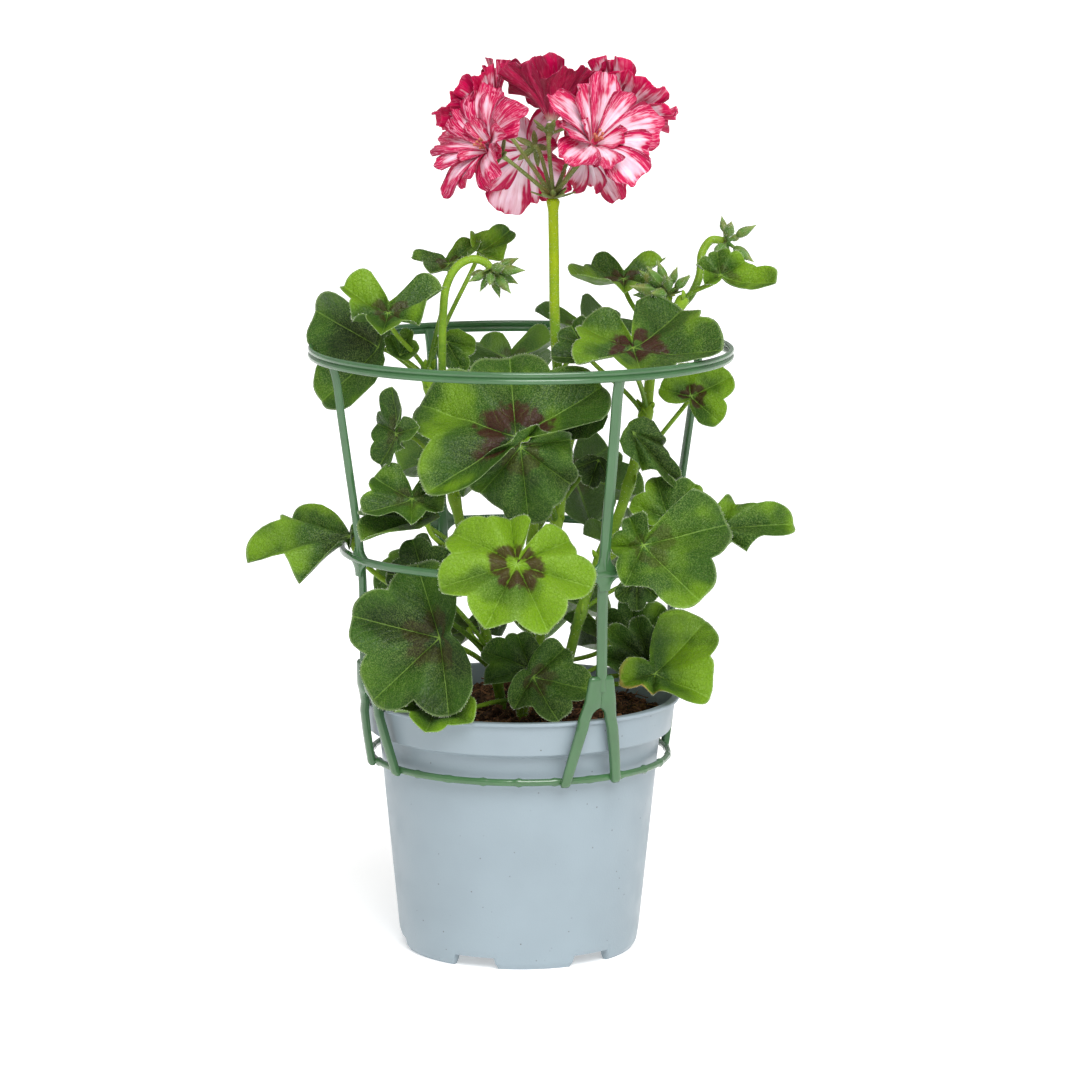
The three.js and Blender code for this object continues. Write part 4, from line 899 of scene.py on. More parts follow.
def pot_surface(corner):
    """The profile turned round the pot's axis. Where the bearing lies in a notch, the foot ring's underside
    is raised to the notch's height."""
    radius, z = rounded(POT_PROFILE, corner).T[:, :, None]
    bearing = np.arange(360.0)
    off = (bearing - FOOT_BEARING) % (360 / FOOT_COUNT) - 180 / FOOT_COUNT
    notch = NOTCH_HEIGHT * np.clip(NOTCH_HALF_ANGLE - np.abs(off), 0, 1)
    foot = eased(radius, FOOT_RADIUS - FOOT_RING_WIDTH - 0.4, FOOT_RADIUS - FOOT_RING_WIDTH)
    return capped(polar(bearing, radius, np.maximum(z, notch * foot)))


def cut_drain_holes(pot):
    """Takes six upright cylinders from the pot's floor, then drops them."""
    cutters = []
    for i in range(FOOT_COUNT):
        x, y, _ = polar(FOOT_BEARING + (i + 0.5) * 360 / FOOT_COUNT, DRAIN_HOLE_CIRCLE, 0)
        cutters.append(tube(np.array([[x, y, z] for z in DRAIN_CUT]), DRAIN_HOLE_RADIUS, 32))
    cutter = make_piece("drain cutters", cutters, pot.active_material)
    modifier = pot.modifiers.new("drain holes", "BOOLEAN")
    modifier.object = cutter
    pierced = bpy.data.meshes.new_from_object(pot.evaluated_get(bpy.context.evaluated_depsgraph_get()))
    pot.modifiers.clear()
    plain, pot.data = pot.data, pierced
    bpy.data.meshes.remove(plain)
    bpy.data.meshes.remove(cutter.data)
    if not pierced.polygons:
        raise RuntimeError("cutting the drain holes left no pot")


def soil_height(x, y):
    """Rise of the peat over its profile: broad clods, a product and a sum of sines, and finer lumps."""
    clods = 0.6 * np.sin(0.31 * x + 1.3) * np.cos(0.27 * y - 0.4)
    clods = clods + 0.3 * (np.sin(0.53 * x - 0.47 * y) + 0.6 * np.cos(0.71 * y + 0.38 * x))
    return CLOD_HEIGHT * clods + sum(lattice_noise(x, y, cell, seed) * high for cell, seed, high in LUMPS)


def soil_surface():
    """The profile turned, with its top drawn in to a fine grid and raised by the clods and lumps."""
    sides, top = np.split(np.array(SOIL_PROFILE, float), [SOIL_SIDE_POINTS])
    radius = np.concatenate([sides[:, 0], np.linspace(top[0, 0], 0.4, 90)])[:, None]
    z = np.concatenate([sides[:, 1], along_table(top, radius[SOIL_SIDE_POINTS:, 0])])[:, None]
    points = polar(np.arange(0, 360, 1.5), radius, z)
    points[SOIL_SIDE_POINTS:, :, 2] += soil_height(points[..., 0], points[..., 1])[SOIL_SIDE_POINTS:]
    return capped(points, tone=0.0)


def twenty_faced_ball():
    """A ball's corners, which are those of three crossed golden rectangles, and its faces, one for each
    three corners that stand near one another."""
    golden = (1 + 5**0.5) / 2
    a, b = np.meshgrid([-1, 1], [-golden, golden])
    flat = np.stack([0 * a.ravel(), a.ravel(), b.ravel()], -1)
    ball = unit(np.concatenate([flat, np.roll(flat, 1, 1), np.roll(flat, 2, 1)]))
    near = np.linalg.norm(ball[:, None] - ball[None], axis=-1) < 1.2
    trios = [list(trio) for trio in combinations(range(12), 3) if near[np.ix_(trio, trio)].all()]
    return ball, np.array([trio if np.linalg.det(ball[trio]) > 0 else trio[::-1] for trio in trios])


def crumbs(count, draw):
    """Crumbs of peat: balls of twenty faces, stretched, turned and dented at random, strewn over the top."""
    ball, faces = twenty_faced_ball()
    turns = np.linalg.qr(draw.normal(size=(count, 3, 3)))[0]
    turns[np.linalg.det(turns) < 0] *= -1
    stretch = draw.uniform(0.35, 1.0, (count, 1, 3)) * draw.uniform(0.6, 2.3, (count, 1, 1)) ** 1.3
    bodies = ball[None] * stretch * draw.uniform(0.75, 1.2, (count, 12, 1))
    bodies = np.einsum("nij,nkj->nki", turns, bodies)
    radius, bearing = CRUMB_RADIUS * np.sqrt(draw.uniform(0.001, 1, count)), draw.uniform(0, 360, count)
    place = polar(bearing, radius, along_table(SOIL_PROFILE[SOIL_SIDE_POINTS:], radius))
    place[:, 2] += soil_height(place[:, 0], place[:, 1]) + draw.uniform(-0.2, 0.5, count)
    tone = np.repeat(draw.uniform(0, 1, count) ** 3 * 0.7, 12)
    corners = np.arange(count)[:, None, None] * 12 + faces
    return Surface(bodies + place[:, None], [corners.reshape(-1, 3)], tone=tone)


def fibre(draw):
    """A bent fibre of peat that lies on the top: a thin tube through five strewn points."""
    radius = FIBRE_MIDDLE_RADIUS * draw.uniform(0.1, 1) ** 0.5
    bearing, heading = draw.uniform(0, 360), draw.uniform(0, 360)
    steps = np.linspace(-0.5, 0.5, 5)[:, None] * draw.uniform(5, 16)
    line = polar(bearing, radius, 0) + steps * polar(heading, 1, 0) + draw.normal(0, 0.7, (5, 3))
    line *= np.minimum(1, FIBRE_END_RADIUS / np.linalg.norm(line[:, :2], axis=1))[:, None]
    line[:, 2] = SOIL_TOP_Z + 0.6 + soil_height(line[:, 0], line[:, 1]) + draw.uniform(-0.4, 1.4, 5)
    return tube(curve_through(line, 9), draw.uniform(0.1, 0.3), 5, tone=draw.uniform(0.2, 0.9))


# ---- Support cage ----


def ring_surface(radius, z, section_out, section_up, swell=None):
    """A section of outward and upward offsets carried round the axis. swell gives extra outward size for
    each bearing."""
    bearing = np.arange(0, 360, 1.5)[:, None]
    grown = 1 + (0 if swell is None else swell(bearing))
    return looped(polar(bearing, radius + section_out[None] * grown, z + section_up[None] * grown))


def oval(half_out, half_up, columns=20, power=1.0):
    """Offsets round an oval section, squarer for a power under 1."""
    turn = np.linspace(0, 2 * np.pi, columns, endpoint=False)
    c, s = np.cos(turn), np.sin(turn)
    return half_out * np.sign(c) * np.abs(c) ** power, half_up * np.sign(s) * np.abs(s) ** power


def twin_bead():
    """Section of the top ring: two beads one over the other, joined by a shallow groove."""
    turn = np.linspace(0, 2 * np.pi, 40, endpoint=False)
    waist = 1 - 0.75 * np.exp(-((np.sin(turn) / 0.2) ** 2))
    return 0.2 + 1.25 * np.cos(turn) * waist * (0.75 + 0.45 * np.sin(turn) ** 2), 2.2 * np.sin(turn)


def on_cage(bearing, across, radius, z):
    """Points wrapped on the cage: across is measured round the pot's lip from a leg's bearing."""
    return polar(bearing + np.degrees(across / LIP_RADIUS), radius, z)


def leg_surface(bearing, rib):
    """A leg: its section has a flat inner face, rounded corners and a rib down the middle of its outer face,
    and follows the leg's centre line from the top ring to the clip."""
    centre = np.array(LEG_CENTRE, float)
    path = curve_through(np.stack([centre[:, 1], np.zeros(len(centre)), centre[:, 0]], -1), 60)
    radius, z = path[:, 0][:, None], path[:, 2][:, None]
    slope = np.arctan2(np.gradient(path[:, 0]), -np.gradient(path[:, 2]))[:, None]
    across, out = oval(LEG_SIZE[1] / 2, LEG_SIZE[0] / 2, 32, 0.55)[::-1]
    out = np.where(out > 0, out * (0.72 + rib * np.exp(-((across / 0.8) ** 2))), out)
    around = across[None] * LIP_RADIUS / radius
    radius, z = radius + out[None] * np.cos(slope), z + out[None] * np.sin(slope)
    return capped(on_cage(bearing, around, radius, z))


def gusset_surface(bearing):
    """The web where a leg crosses the middle ring: a plate whose half width narrows away from the ring."""
    z = np.linspace(145.4, 157.6, 25)[:, None]
    off = np.abs(z - MIDDLE_RING[1])
    half = 1.9 + 5.6 * np.exp(-((off / 2.3) ** 1.5))
    across, out = oval(1.0, 0.95, 28, 0.5)
    return capped(on_cage(bearing, across[None] * half, MIDDLE_RING[0] - 0.1 + out[None], z))


def clip_surface(bearing, side):
    """Half of the forked clip: a strip between an inner and an outer edge that both depend on the height,
    held against the pot, and thicker towards its foot."""
    spans = ((CLIP_TOP_Z, 102, 14), (CLIP_FORK_Z, 92, 26), (91.5, CLIP_FOOT_Z, 24))
    z = np.concatenate([np.linspace(*span) for span in spans])[:, None]
    outer = along_table(CLIP_OUTER_EDGE, z)
    inner = along_table(CLIP_INNER_EDGE, z) - 0.12 * (z > CLIP_FORK_Z)
    ease = np.clip(np.minimum(z - CLIP_FOOT_Z, CLIP_TOP_Z - z) / 1.2, 0, 1)
    face = along_table(CLIP_INNER, z)
    a, b = oval(1.0, 1.0, 32, 0.38)
    half = (outer - inner) / 2
    across = (outer + inner) / 2 + a[None] * half * (1 - 0.25 * (1 - ease) ** 2)
    thick = CLIP_THICKNESS / 2 * (0.55 + 0.45 * np.sqrt(1 - (1 - ease) ** 2))
    swollen = 1 + 0.28 * (b[None] > 0) * np.exp(-((a[None] / 0.75) ** 4))
    radius = face + CLIP_THICKNESS / 2 + b[None] * thick * swollen
    return capped(on_cage(bearing, side * across, radius, z))


def cage_surfaces(rib):
    """All parts of the cage, which is moulded in one piece. Small bumps stand round the lower ring."""
    surfaces = [
        ring_surface(*TOP_RING, *twin_bead()),
        ring_surface(*MIDDLE_RING, *oval(1.1, 1.5, 22, 0.8)),
        ring_surface(*LOWER_RING, *oval(1.15, 1.3),
                     swell=lambda b: 0.35 * np.cos(np.radians(b * LOWER_RING_BUMPS)) ** 60),
    ]
    for bearing in LEG_BEARINGS:
        surfaces += [leg_surface(bearing, rib), gusset_surface(bearing)]
        surfaces += [clip_surface(bearing, side) for side in (1, -1)]
    return surfaces


# ---- Leaves and their stalks ----

LOBE_POWER = 2.6
SINUS_RADIUS = 0.14
BLADE_RINGS = 16
LOBE_COLUMNS = 20
SINUS_COLUMNS = 9
CREASE_WIDTH = 0.9


def leaf_edge(angle, leaf):
    """The blade's edge at angles from its middle lobe, for a size of 1: a lobe's length, less a power of
    the way to the notch, and beyond the last lobe a curve that comes in to the stalk. Also gives the way
    to the notch, and the angle from the lobe's own vein."""
    half = math.radians(leaf.sweep) / 2
    lobes = np.array(leaf.lobes, float)
    width = 2 * half / len(lobes)
    along = (angle + half) / width
    index = np.clip(np.floor(along), 0, len(lobes) - 1).astype(int)
    notch = np.clip(2 * (along - index) - 1, -1, 1)
    other = np.clip(index + np.where(notch > 0, 1, -1), 0, len(lobes) - 1)
    share = 0.5 * np.abs(notch) ** 3
    length = lobes[index] * (1 - share) + lobes[other] * share
    edge = length * (1 - leaf.depth * np.abs(notch) ** LOBE_POWER)
    left = np.clip(1 - (np.abs(angle) - half) / (np.pi - half), 0, 1) ** 2
    end = np.where(angle > 0, lobes[-1], lobes[0]) * (1 - leaf.depth)
    beyond = end * left + SINUS_RADIUS * (1 - left)
    return np.where(np.abs(angle) <= half, edge, beyond), notch, angle + half - (index + 0.5) * width


def leaf_frame(leaf):
    """Out of the blade's upper face, along its middle lobe, and across."""
    tilt, tip = math.radians(leaf.tilt), math.radians(leaf.tip)
    normal = polar(leaf.face, math.cos(tilt), math.sin(tilt))
    up = polar(leaf.face, -math.sin(tilt), math.cos(tilt))
    along = up * math.cos(tip) + np.cross(up, normal) * math.sin(tip)
    return normal, along, np.cross(along, normal)


def leaf_angles(leaf):
    """Angles round the blade, closest together at each lobe's vein, with a few across the open side."""
    half = math.radians(leaf.sweep) / 2
    s = np.linspace(-1, 1, LOBE_COLUMNS, endpoint=False)
    s = np.sign(s) * np.abs(s) ** 1.35
    lobes = -half + 2 * half * (np.arange(len(leaf.lobes))[:, None] + (s[None] + 1) / 2) / len(leaf.lobes)
    rest = half + (2 * np.pi - 2 * half) * np.linspace(0, 1, SINUS_COLUMNS, endpoint=False)
    angles = np.concatenate([lobes.ravel(), rest])
    return np.where(angles > np.pi, angles - 2 * np.pi, angles)


def leaf_blade(leaf, seed, crease, thickness):
    """The blade: over its middle surface, height is cup times the square of the radius, plus pleats that
    rise to the notches, a wave of three round the edge, a fold, a crease along each vein, and a little
    unevenness. It thins towards the edge. Also gives the edge's points and the way out from each."""
    normal, along, across = leaf_frame(leaf)
    angle = leaf_angles(leaf)[None]
    edge, notch, off = leaf_edge(angle, leaf)
    share = (np.linspace(0, 1, BLADE_RINGS + 1) ** 0.8)[:, None]
    size = leaf.size
    ripple = 0.012 * np.sin(9 * angle + seed) + 0.008 * np.sin(17 * angle + 2.1 * seed)
    ripple = 1 + share**6 * ripple
    radius = size * edge * share * ripple
    x, y = radius * np.sin(angle), radius * np.cos(angle)
    turn = math.radians(leaf.fold_turn)
    off_fold = x * math.cos(turn) - y * math.sin(turn)
    off_vein, up_vein = np.abs(radius * np.sin(off)), radius * np.cos(off)
    height = leaf.cup * size * (edge * share) ** 2
    pleats = np.sin(np.pi / 2 * np.abs(notch)) ** 1.15 - 0.5
    height = height + 1.9 * leaf.pleat * size * share**1.15 * pleats
    height = height + leaf.wave * size * share**3 * np.sin(3 * angle)
    height = height + leaf.fold * (np.hypot(off_fold, 0.1 * size) - 0.1 * size)
    fade = eased(share, 0, 0.15) * (1 - 0.7 * share)
    height = height - crease * fade * np.exp(-((off_vein / CREASE_WIDTH) ** 2))
    uneven = lattice_noise(x + 31 * seed, y, 0.22 * size, 7) * 0.02 * size
    uneven = uneven + lattice_noise(x, y + 17 * seed, 3, 8) * 0.12
    height = height + uneven * eased(share, 0.1, 0.5)
    height = height + 0.012 * size * share**5 * np.sin(8 * angle + 1.7 * seed)
    at = np.array(leaf.at, float)
    points = at + across * x[..., None] + along * y[..., None] + normal * height[..., None]
    thick = thickness * (1 - 0.7 * share**5) + 0 * angle
    parched = leaf.dry * np.clip(1.3 - np.abs(np.degrees(angle) - leaf.dry_turn) / 60, 0, 1)
    grids = dict(share=share + 0 * angle, off=off_vein, up=up_vein, dry=parched + 0 * share)
    flat = {name: np.concatenate([grid[0, :1], grid[1:].ravel()]) for name, grid in grids.items()}
    flat.update(tone=leaf.tone, zone=leaf.zone)
    rings = np.arange(BLADE_RINGS * angle.size).reshape(BLADE_RINGS, -1) + 1
    faces = [fan(0, rings[0])[:, ::-1], quads(BLADE_RINGS, angle.size, True) + 1]
    whole = np.concatenate([points[0, :1], points[1:].reshape(-1, 3)])
    thick = np.concatenate([thick[0, :1], thick[1:].ravel()])
    body = two_sided(whole, faces, rings[-1][::-1], thick, **flat)
    return body, points[-1], unit(points[-1] - points[-3])


def stem_curve(name):
    """A main stem's centre line: straight out of the soil, then curved."""
    path = STEMS[name]
    x, y, top = path[1]
    straight = ((x, y, (path[0][2] + top) / 2), (x, y, top - 3))
    return curve_through((path[0],) + straight + path[1:], 201)


def petiole_curve(leaf, start):
    """A leaf stalk's centre line: out and up from the stem, then into the blade from below."""
    normal = leaf_frame(leaf)[0]
    end = np.array(leaf.at, float) - 0.1 * normal
    reach = np.linalg.norm(end - start)
    leave = start + 0.3 * (end - start) + np.array([0, 0, 0.12 * reach])
    return bezier(start, leave, end - leaf.under * reach * normal, end, 33)


def stipules(start, forward):
    """A pair of small pointed blades, one at each side of a leaf stalk's foot."""
    pair = []
    for side in (-1, 1):
        out = unit(np.cross(forward, [0, 0, 1.0]) * side + 0.5 * forward)
        foot = start + 1.6 * out + np.array([0, 0, -0.5])
        rising = unit(out + np.array([0, 0, 0.8]))
        pair.append(pointed_blade(foot, rising, unit(np.cross(out, forward)), 4.2, 3.0, 0.2))
    return pair


def leafy_stem(name, shape):
    """A main stem's blades, stalks and hairs. The stem swells at each leaf stalk's foot, where a pair of
    small pointed stipules stands, and each stalk widens at both ends."""
    draw = np.random.default_rng(sum(map(ord, name)))
    hair, crease, thickness = shape.hair_length / MM, shape.crease_depth / MM, shape.leaf_thickness / MM
    leaves = [(number, leaf) for number, leaf in enumerate(LEAVES) if leaf.stem == name]
    curve = stem_curve(name)
    swell = sum(0.55 * np.exp(-(((curve[:, 2] - leaf.root) / 3.2) ** 2)) for _, leaf in leaves)
    radius = MAIN_STEM_RADIUS - 0.25 + np.minimum(swell, 0.9)
    bare = BURIED_ROWS
    blades, stalks = [], [tube(curve, domed(curve, radius), 20)]
    fuzz = [tube_hairs(curve[bare:], radius[bare:], MAIN_STEM_HAIRS, 1.2 * hair, draw)]
    for number, leaf in leaves:
        start = curve[np.abs(curve[:, 2] - leaf.root).argmin()]
        path = petiole_curve(leaf, start)
        way = np.linspace(0, 1, len(path))
        girth = 0.88 + 0.5 * np.exp(-((way / 0.07) ** 2)) + 0.25 * np.exp(-(((1 - way) / 0.05) ** 2))
        width = PETIOLE_RADIUS * min(1.0, 0.72 + leaf.size / 130) * girth
        stalks += [tube(path, width, 14), *stipules(start, unit(path[3] - path[0]))]
        body, rim, outward = leaf_blade(leaf, number, crease, thickness)
        blades.append(body)
        fuzz.append(edge_hairs(rim, outward, leaf_frame(leaf)[0], hair, draw))
        count = int(PETIOLE_HAIRS_PER_MM * np.linalg.norm(path[-1] - path[0]))
        fuzz.append(tube_hairs(path, width, count, hair, draw))
    return blades, stalks, fuzz


# ---- Bloom and buds ----


def petal_surface(floret, index, ruffle, size, opened, turn):
    """A petal: its rows rise beside the axis and lean out along the way, its width swells to a blunt end
    with two or three shallow lobes, and waves, higher towards the end, run across it."""
    axis, spoke = spokes(floret.towards, floret.turn)
    out = spoke(360 / PETAL_COUNT * index + turn)
    side = np.cross(axis, out)
    phase = 2.0 * index + floret.turn
    s = np.linspace(-1, 1, 33)[None]
    lobes = 0.03 * np.abs(np.sin(2.6 * s + phase)) + 0.008 * np.sin(11 * s + 2 * phase)
    t = (np.linspace(0, 1, 33) ** 0.9)[:, None] * (1 - 0.17 * np.abs(s) ** 3.5 - lobes)

    way = np.linspace(0, 1, 201)
    middle = (way[1:] + way[:-1]) / 2
    lean = np.radians(START_LEAN + (opened - START_LEAN) * np.minimum(1, 1.25 * middle))
    gone = [size * np.interp(t, way, np.concatenate([[0], np.cumsum(step)]) / len(step))
            for step in (np.sin(lean), np.cos(lean))]
    radial, axial = gone[0] + PETAL_START[0], gone[1] + PETAL_START[1] + CUP_HEIGHT

    width = size * (0.03 + 0.9 * t**1.1 * (1 - 0.42 * t**5))
    curl = 0.16 * width * (1 - np.abs(s) ** 1.5) + 0.05 * size * t**2 * np.sin(5 * s + 2 * index)
    waves = t**2.5 * np.sin(6 * s + 1.3 * phase) + 0.35 * t**4 * np.sin(15 * s + 2.2 * phase + 4 * t)
    waves = ruffle * size * waves
    ribs = 0.006 * size * t * np.sin(38 * s + phase)
    lift = axial - 0.3 * curl + PETAL_OVERLAP * s * width * t + (waves + ribs) * np.sin(math.radians(opened))
    away = radial + 0.8 * curl - 0.04 * size * t**4 * s**2 - waves * np.cos(math.radians(opened))
    points = np.array(floret.cup, float) + axis * lift[..., None] + out * away[..., None]
    points = points + side * (s * width / 2)[..., None]
    draw = float((phase * 0.37) % 5)
    return blade(points, 0.42 - 0.24 * t**3, along=t, across=s + 0 * t, draw=draw, deep=floret.deep)


def floret_surfaces(floret, number, ruffle):
    """A floret's two rings of petals, a few short inner ones, and its tube. Each ring has its count and
    turn, and then shares of the floret's own size, opening and ruffle."""
    length, spread = (0.98, 1.3) if floret.opened < HALF_OPEN else (0.84, 0.78)
    rings = ((PETAL_COUNT, 0, 1, 1, 1), (PETAL_COUNT, 36, length, spread, 1.3),
             (2 + number % 2, 12, 0.52, 0.4, 1.5))
    surfaces = []
    for count, turn, size, opened, frill in rings:
        sizes = (frill * ruffle, size * floret.size, opened * floret.opened, turn)
        surfaces += [petal_surface(floret, i * PETAL_COUNT / count, *sizes) for i in range(count)]
    axis = spokes(floret.towards)[0]
    throat = floret.cup + axis * np.linspace(CUP_HEIGHT - 0.5, CUP_HEIGHT + 4.5, 6)[:, None]
    return surfaces + [tube(throat, np.linspace(1.5, 1.3, 6), across=0.0)]


def stamens(floret):
    """Short filaments in the throat with oval tips."""
    axis, spoke = spokes(floret.towards, floret.turn)
    cup = np.array(floret.cup, float)
    surfaces = []
    for i in range(6):
        foot = cup + axis * (CUP_HEIGHT + 3)
        tip = foot + axis * (5.5 + i % 3) + spoke(60 * i) * 1.6
        path = bezier(foot, foot + 2 * axis, tip - 2 * axis, tip, 14)
        way = np.linspace(0, 1, 14)
        surfaces.append(tube(path, domed(path, 0.22 + 0.45 * eased(way, 0.78, 0.9)), 8))
    return surfaces


def calyx_surfaces(floret):
    """A floret's pedicel, cup and five pointed sepals, which stand between its petals."""
    axis, spoke = spokes(floret.towards, floret.turn)
    cup = np.array(floret.cup, float)
    foot, belly = (UMBEL + share * (cup - UMBEL) for share in (0.06, 0.5))
    path = bezier(foot, belly, cup - 4 * axis, cup + 0.5 * axis, 25)
    way = np.linspace(0, 1, 25)
    green = [tube(path, PEDICEL_RADIUS * (1.12 + 0.5 * eased(way, 0.75, 1) + 0.4 * (1 - way) ** 6), 12)]
    bell = cup + axis * np.linspace(-0.6, CUP_HEIGHT + 1.2, 9)[:, None]
    green.append(tube(bell, np.interp(np.linspace(0, 1, 9), [0, 0.3, 0.7, 1], [0.9, 1.7, 1.9, 1.5]), 16))
    for k in range(PETAL_COUNT):
        out = spoke(360 / PETAL_COUNT * (k + 0.5))
        green.append(star_blade(cup + axis + out, out, axis, 0.42, SEPAL_LENGTH, 3.0, 0.06))
    return green, path


def bloom_surfaces(shape):
    """The bloom's long stalk and knob, its ring of bracts, and the florets' pedicels and calyces."""
    draw = np.random.default_rng(41)
    hair = shape.hair_length / MM
    curve = curve_through(PEDUNCLE, 121)
    way = np.linspace(0, 1, 121)
    girth = 0.93 + 0.12 * np.exp(-(((way - 0.02) / 0.05) ** 2)) + 0.45 * eased(way, 0.95, 1)
    radius = PEDUNCLE_RADIUS * girth
    long_stalk = [tube(curve, domed(curve, radius), 22)]
    fuzz = [tube_hairs(curve, radius, PEDUNCLE_HAIRS, 1.1 * hair, draw)]
    axis, spoke = spokes((0, 0, 1))
    green = []
    for k in range(2 * BRACT_COUNT):
        out = spoke(180 / BRACT_COUNT * (k + 1))
        upper = k % 2
        foot = UMBEL + 1.4 * out - 0.3 * axis
        green.append(star_blade(foot, out, axis, 0.25 + 0.5 * upper, 7.2 - 1.8 * upper, 3.0, 0.05))
    for floret in FLORETS:
        parts, path = calyx_surfaces(floret)
        green += parts
        fuzz.append(tube_hairs(path, PEDICEL_RADIUS, PEDICEL_HAIRS, hair, draw))
        fuzz.append(calyx_hairs(floret, draw, hair))
    return long_stalk, green, fuzz


def calyx_hairs(floret, draw, length):
    """Hairs on a floret's cup and the backs of its sepals."""
    axis, spoke = spokes(floret.towards, floret.turn)
    count = CALYX_HAIRS
    turn = draw.uniform(0, 360, count)
    out = spoke(turn)
    near = np.cos(np.radians(PETAL_COUNT * (turn - 180 / PETAL_COUNT)))
    away = draw.uniform(1.4, 2.2, count) + np.maximum(near, 0) * draw.uniform(0, 4.2, count)
    seat = np.array(floret.cup, float) + out * away[:, None] + axis * (0.5 + 0.42 * away[:, None])
    leaning = -0.8 * axis + 0.7 * out + draw.normal(0, 0.3, (count, 3))
    return hairs(seat, leaning, length * draw.uniform(0.5, 1.1, count))


def bud_surface(centre, direction, reach, length, turn):
    """A closed bud: a spindle whose radius follows its height, with five overlapping sepals, so that the
    radius steps down at each sepal's edge. The edges wind slightly round it."""
    axis, spoke = spokes(direction, turn)
    h = np.linspace(0, 1, 19)
    radius = along_table(BUD_RADII, h) * length / BUD_LENGTH
    height = reach - 0.3 + h * length
    degrees = np.arange(0, 360, 9.0)[None]
    step = ((degrees / 72 + 0.35 * h[:, None]) % 1) ** 1.4
    swollen = radius[:, None] * (0.93 + 0.15 * step * np.sin(np.pi * np.minimum(1, 1.2 * h[:, None])))
    points = centre + axis * height[:, None, None] + spoke(degrees + 0 * h[:, None]) * swollen[..., None]
    return capped(points, along=h[:, None], edge=step)


def bud_hairs(centre, direction, spray, length, hair, draw):
    """Hairs at random places round a bud, which lean to its tip."""
    count = BUD_HAIRS
    turn, h = draw.uniform(0, 360, count), draw.uniform(0.02, 0.92, count)
    out = spokes(direction)[1](turn)
    girth = along_table(BUD_HAIR_RADII, h) * length / BUD_LENGTH
    seat = centre + direction * (spray.reach + h * length)[:, None] + out * girth[:, None]
    leaning = out + 0.5 * direction + draw.normal(0, 0.3, (count, 3))
    return hairs(seat, leaning, hair * draw.uniform(0.6, 1.3, count))


def bud_spray(name, shape):
    """A spray: its stalk with a ring of small bracts, and buds that stand on pedicels at the golden angle."""
    spray = BUD_SPRAYS[name]
    draw = np.random.default_rng(60 + len(spray.path))
    hair = shape.hair_length / MM
    curve = curve_through(spray.path, 61)
    centre = curve[-1]
    radius = BUD_STALK_RADIUS * (0.95 + 0.45 * eased(np.linspace(0, 1, 61), 0.93, 1))
    stalk = [tube(curve, domed(curve, radius), 18)]
    fuzz = [tube_hairs(curve, radius, BUD_STALK_HAIRS, 1.1 * hair, draw)]
    axis, spoke = spokes(spray.looks)
    green = []
    for k in range(SPRAY_BRACT_COUNT):
        out = spoke(360 / SPRAY_BRACT_COUNT * k)
        green.append(star_blade(centre + 1.2 * out, out, axis, -0.1, 4.2, 2.4, 0.1))
    for i in range(spray.count):
        lean = math.radians(spray.spread * math.sqrt((i + 0.3) / spray.count))
        direction = axis * math.cos(lean) + spoke(GOLDEN_ANGLE * i) * math.sin(lean)
        length = spray.length * (0.8 + 0.2 * math.sin(2.3 * i))
        path = centre + direction * np.linspace(0.5, spray.reach + 0.4, 6)[:, None]
        green.append(tube(path, np.linspace(0.85, 0.6, 6), 10))
        green.append(bud_surface(centre, direction, spray.reach, length, 40.0 * i))
        fuzz.append(bud_hairs(centre, direction, spray, length, hair, draw))
    return stalk, green, fuzz


# ---- What a user can change ----


def colour_choice(name, description, default):
    """A colour in linear values."""
    return bpy.props.FloatVectorProperty(
        name=name, description=description, default=default, subtype="COLOR", size=3, min=0, max=1)


def size_choice(name, description, default):
    """A length given in millimetres."""
    return bpy.props.FloatProperty(
        name=name, description=description, default=default * MM, min=0, precision=5,
        subtype="DISTANCE", unit="LENGTH")


def share_choice(name, description, default, largest):
    """A share of another size."""
    return bpy.props.FloatProperty(
        name=name, description=description, default=default, min=0, max=largest, subtype="FACTOR")


def light_choice(name, description, default):
    """A strength of light."""
    return bpy.props.FloatProperty(name=name, description=description, default=default, min=0)


class PlantShape(bpy.types.PropertyGroup):
    """Sizes of the plant's fine parts, and how many there are."""

    leaf_thickness: size_choice("Leaf thickness", "Thickness of a leaf blade near its stalk", 0.6)
    crease_depth: size_choice("Vein crease", "How deep a leaf is creased along its veins", 0.7)
    hair_length: size_choice("Hair length", "Length of the hairs on leaf edges, stalks and buds", 0.7)
    petal_ruffle: share_choice(
        "Petal ruffle", "Height of the waves at a petal's end, as a share of its length", 0.05, 0.2)
    crumb_count: bpy.props.IntProperty(
        name="Crumbs", description="Number of crumbs strewn over the peat", default=1500, min=1)
    fibre_count: bpy.props.IntProperty(
        name="Fibres", description="Number of fibres that lie on the peat", default=170, min=0)


class PotShape(bpy.types.PropertyGroup):
    """Sizes of the moulded parts' edges."""

    pot_corner: size_choice("Pot corners", "How far from an edge the pot's corners begin to round", 0.5)
    leg_rib: share_choice(
        "Leg rib", "Height of the rib down a cage leg, as a share of half the leg's thickness", 0.55, 1)


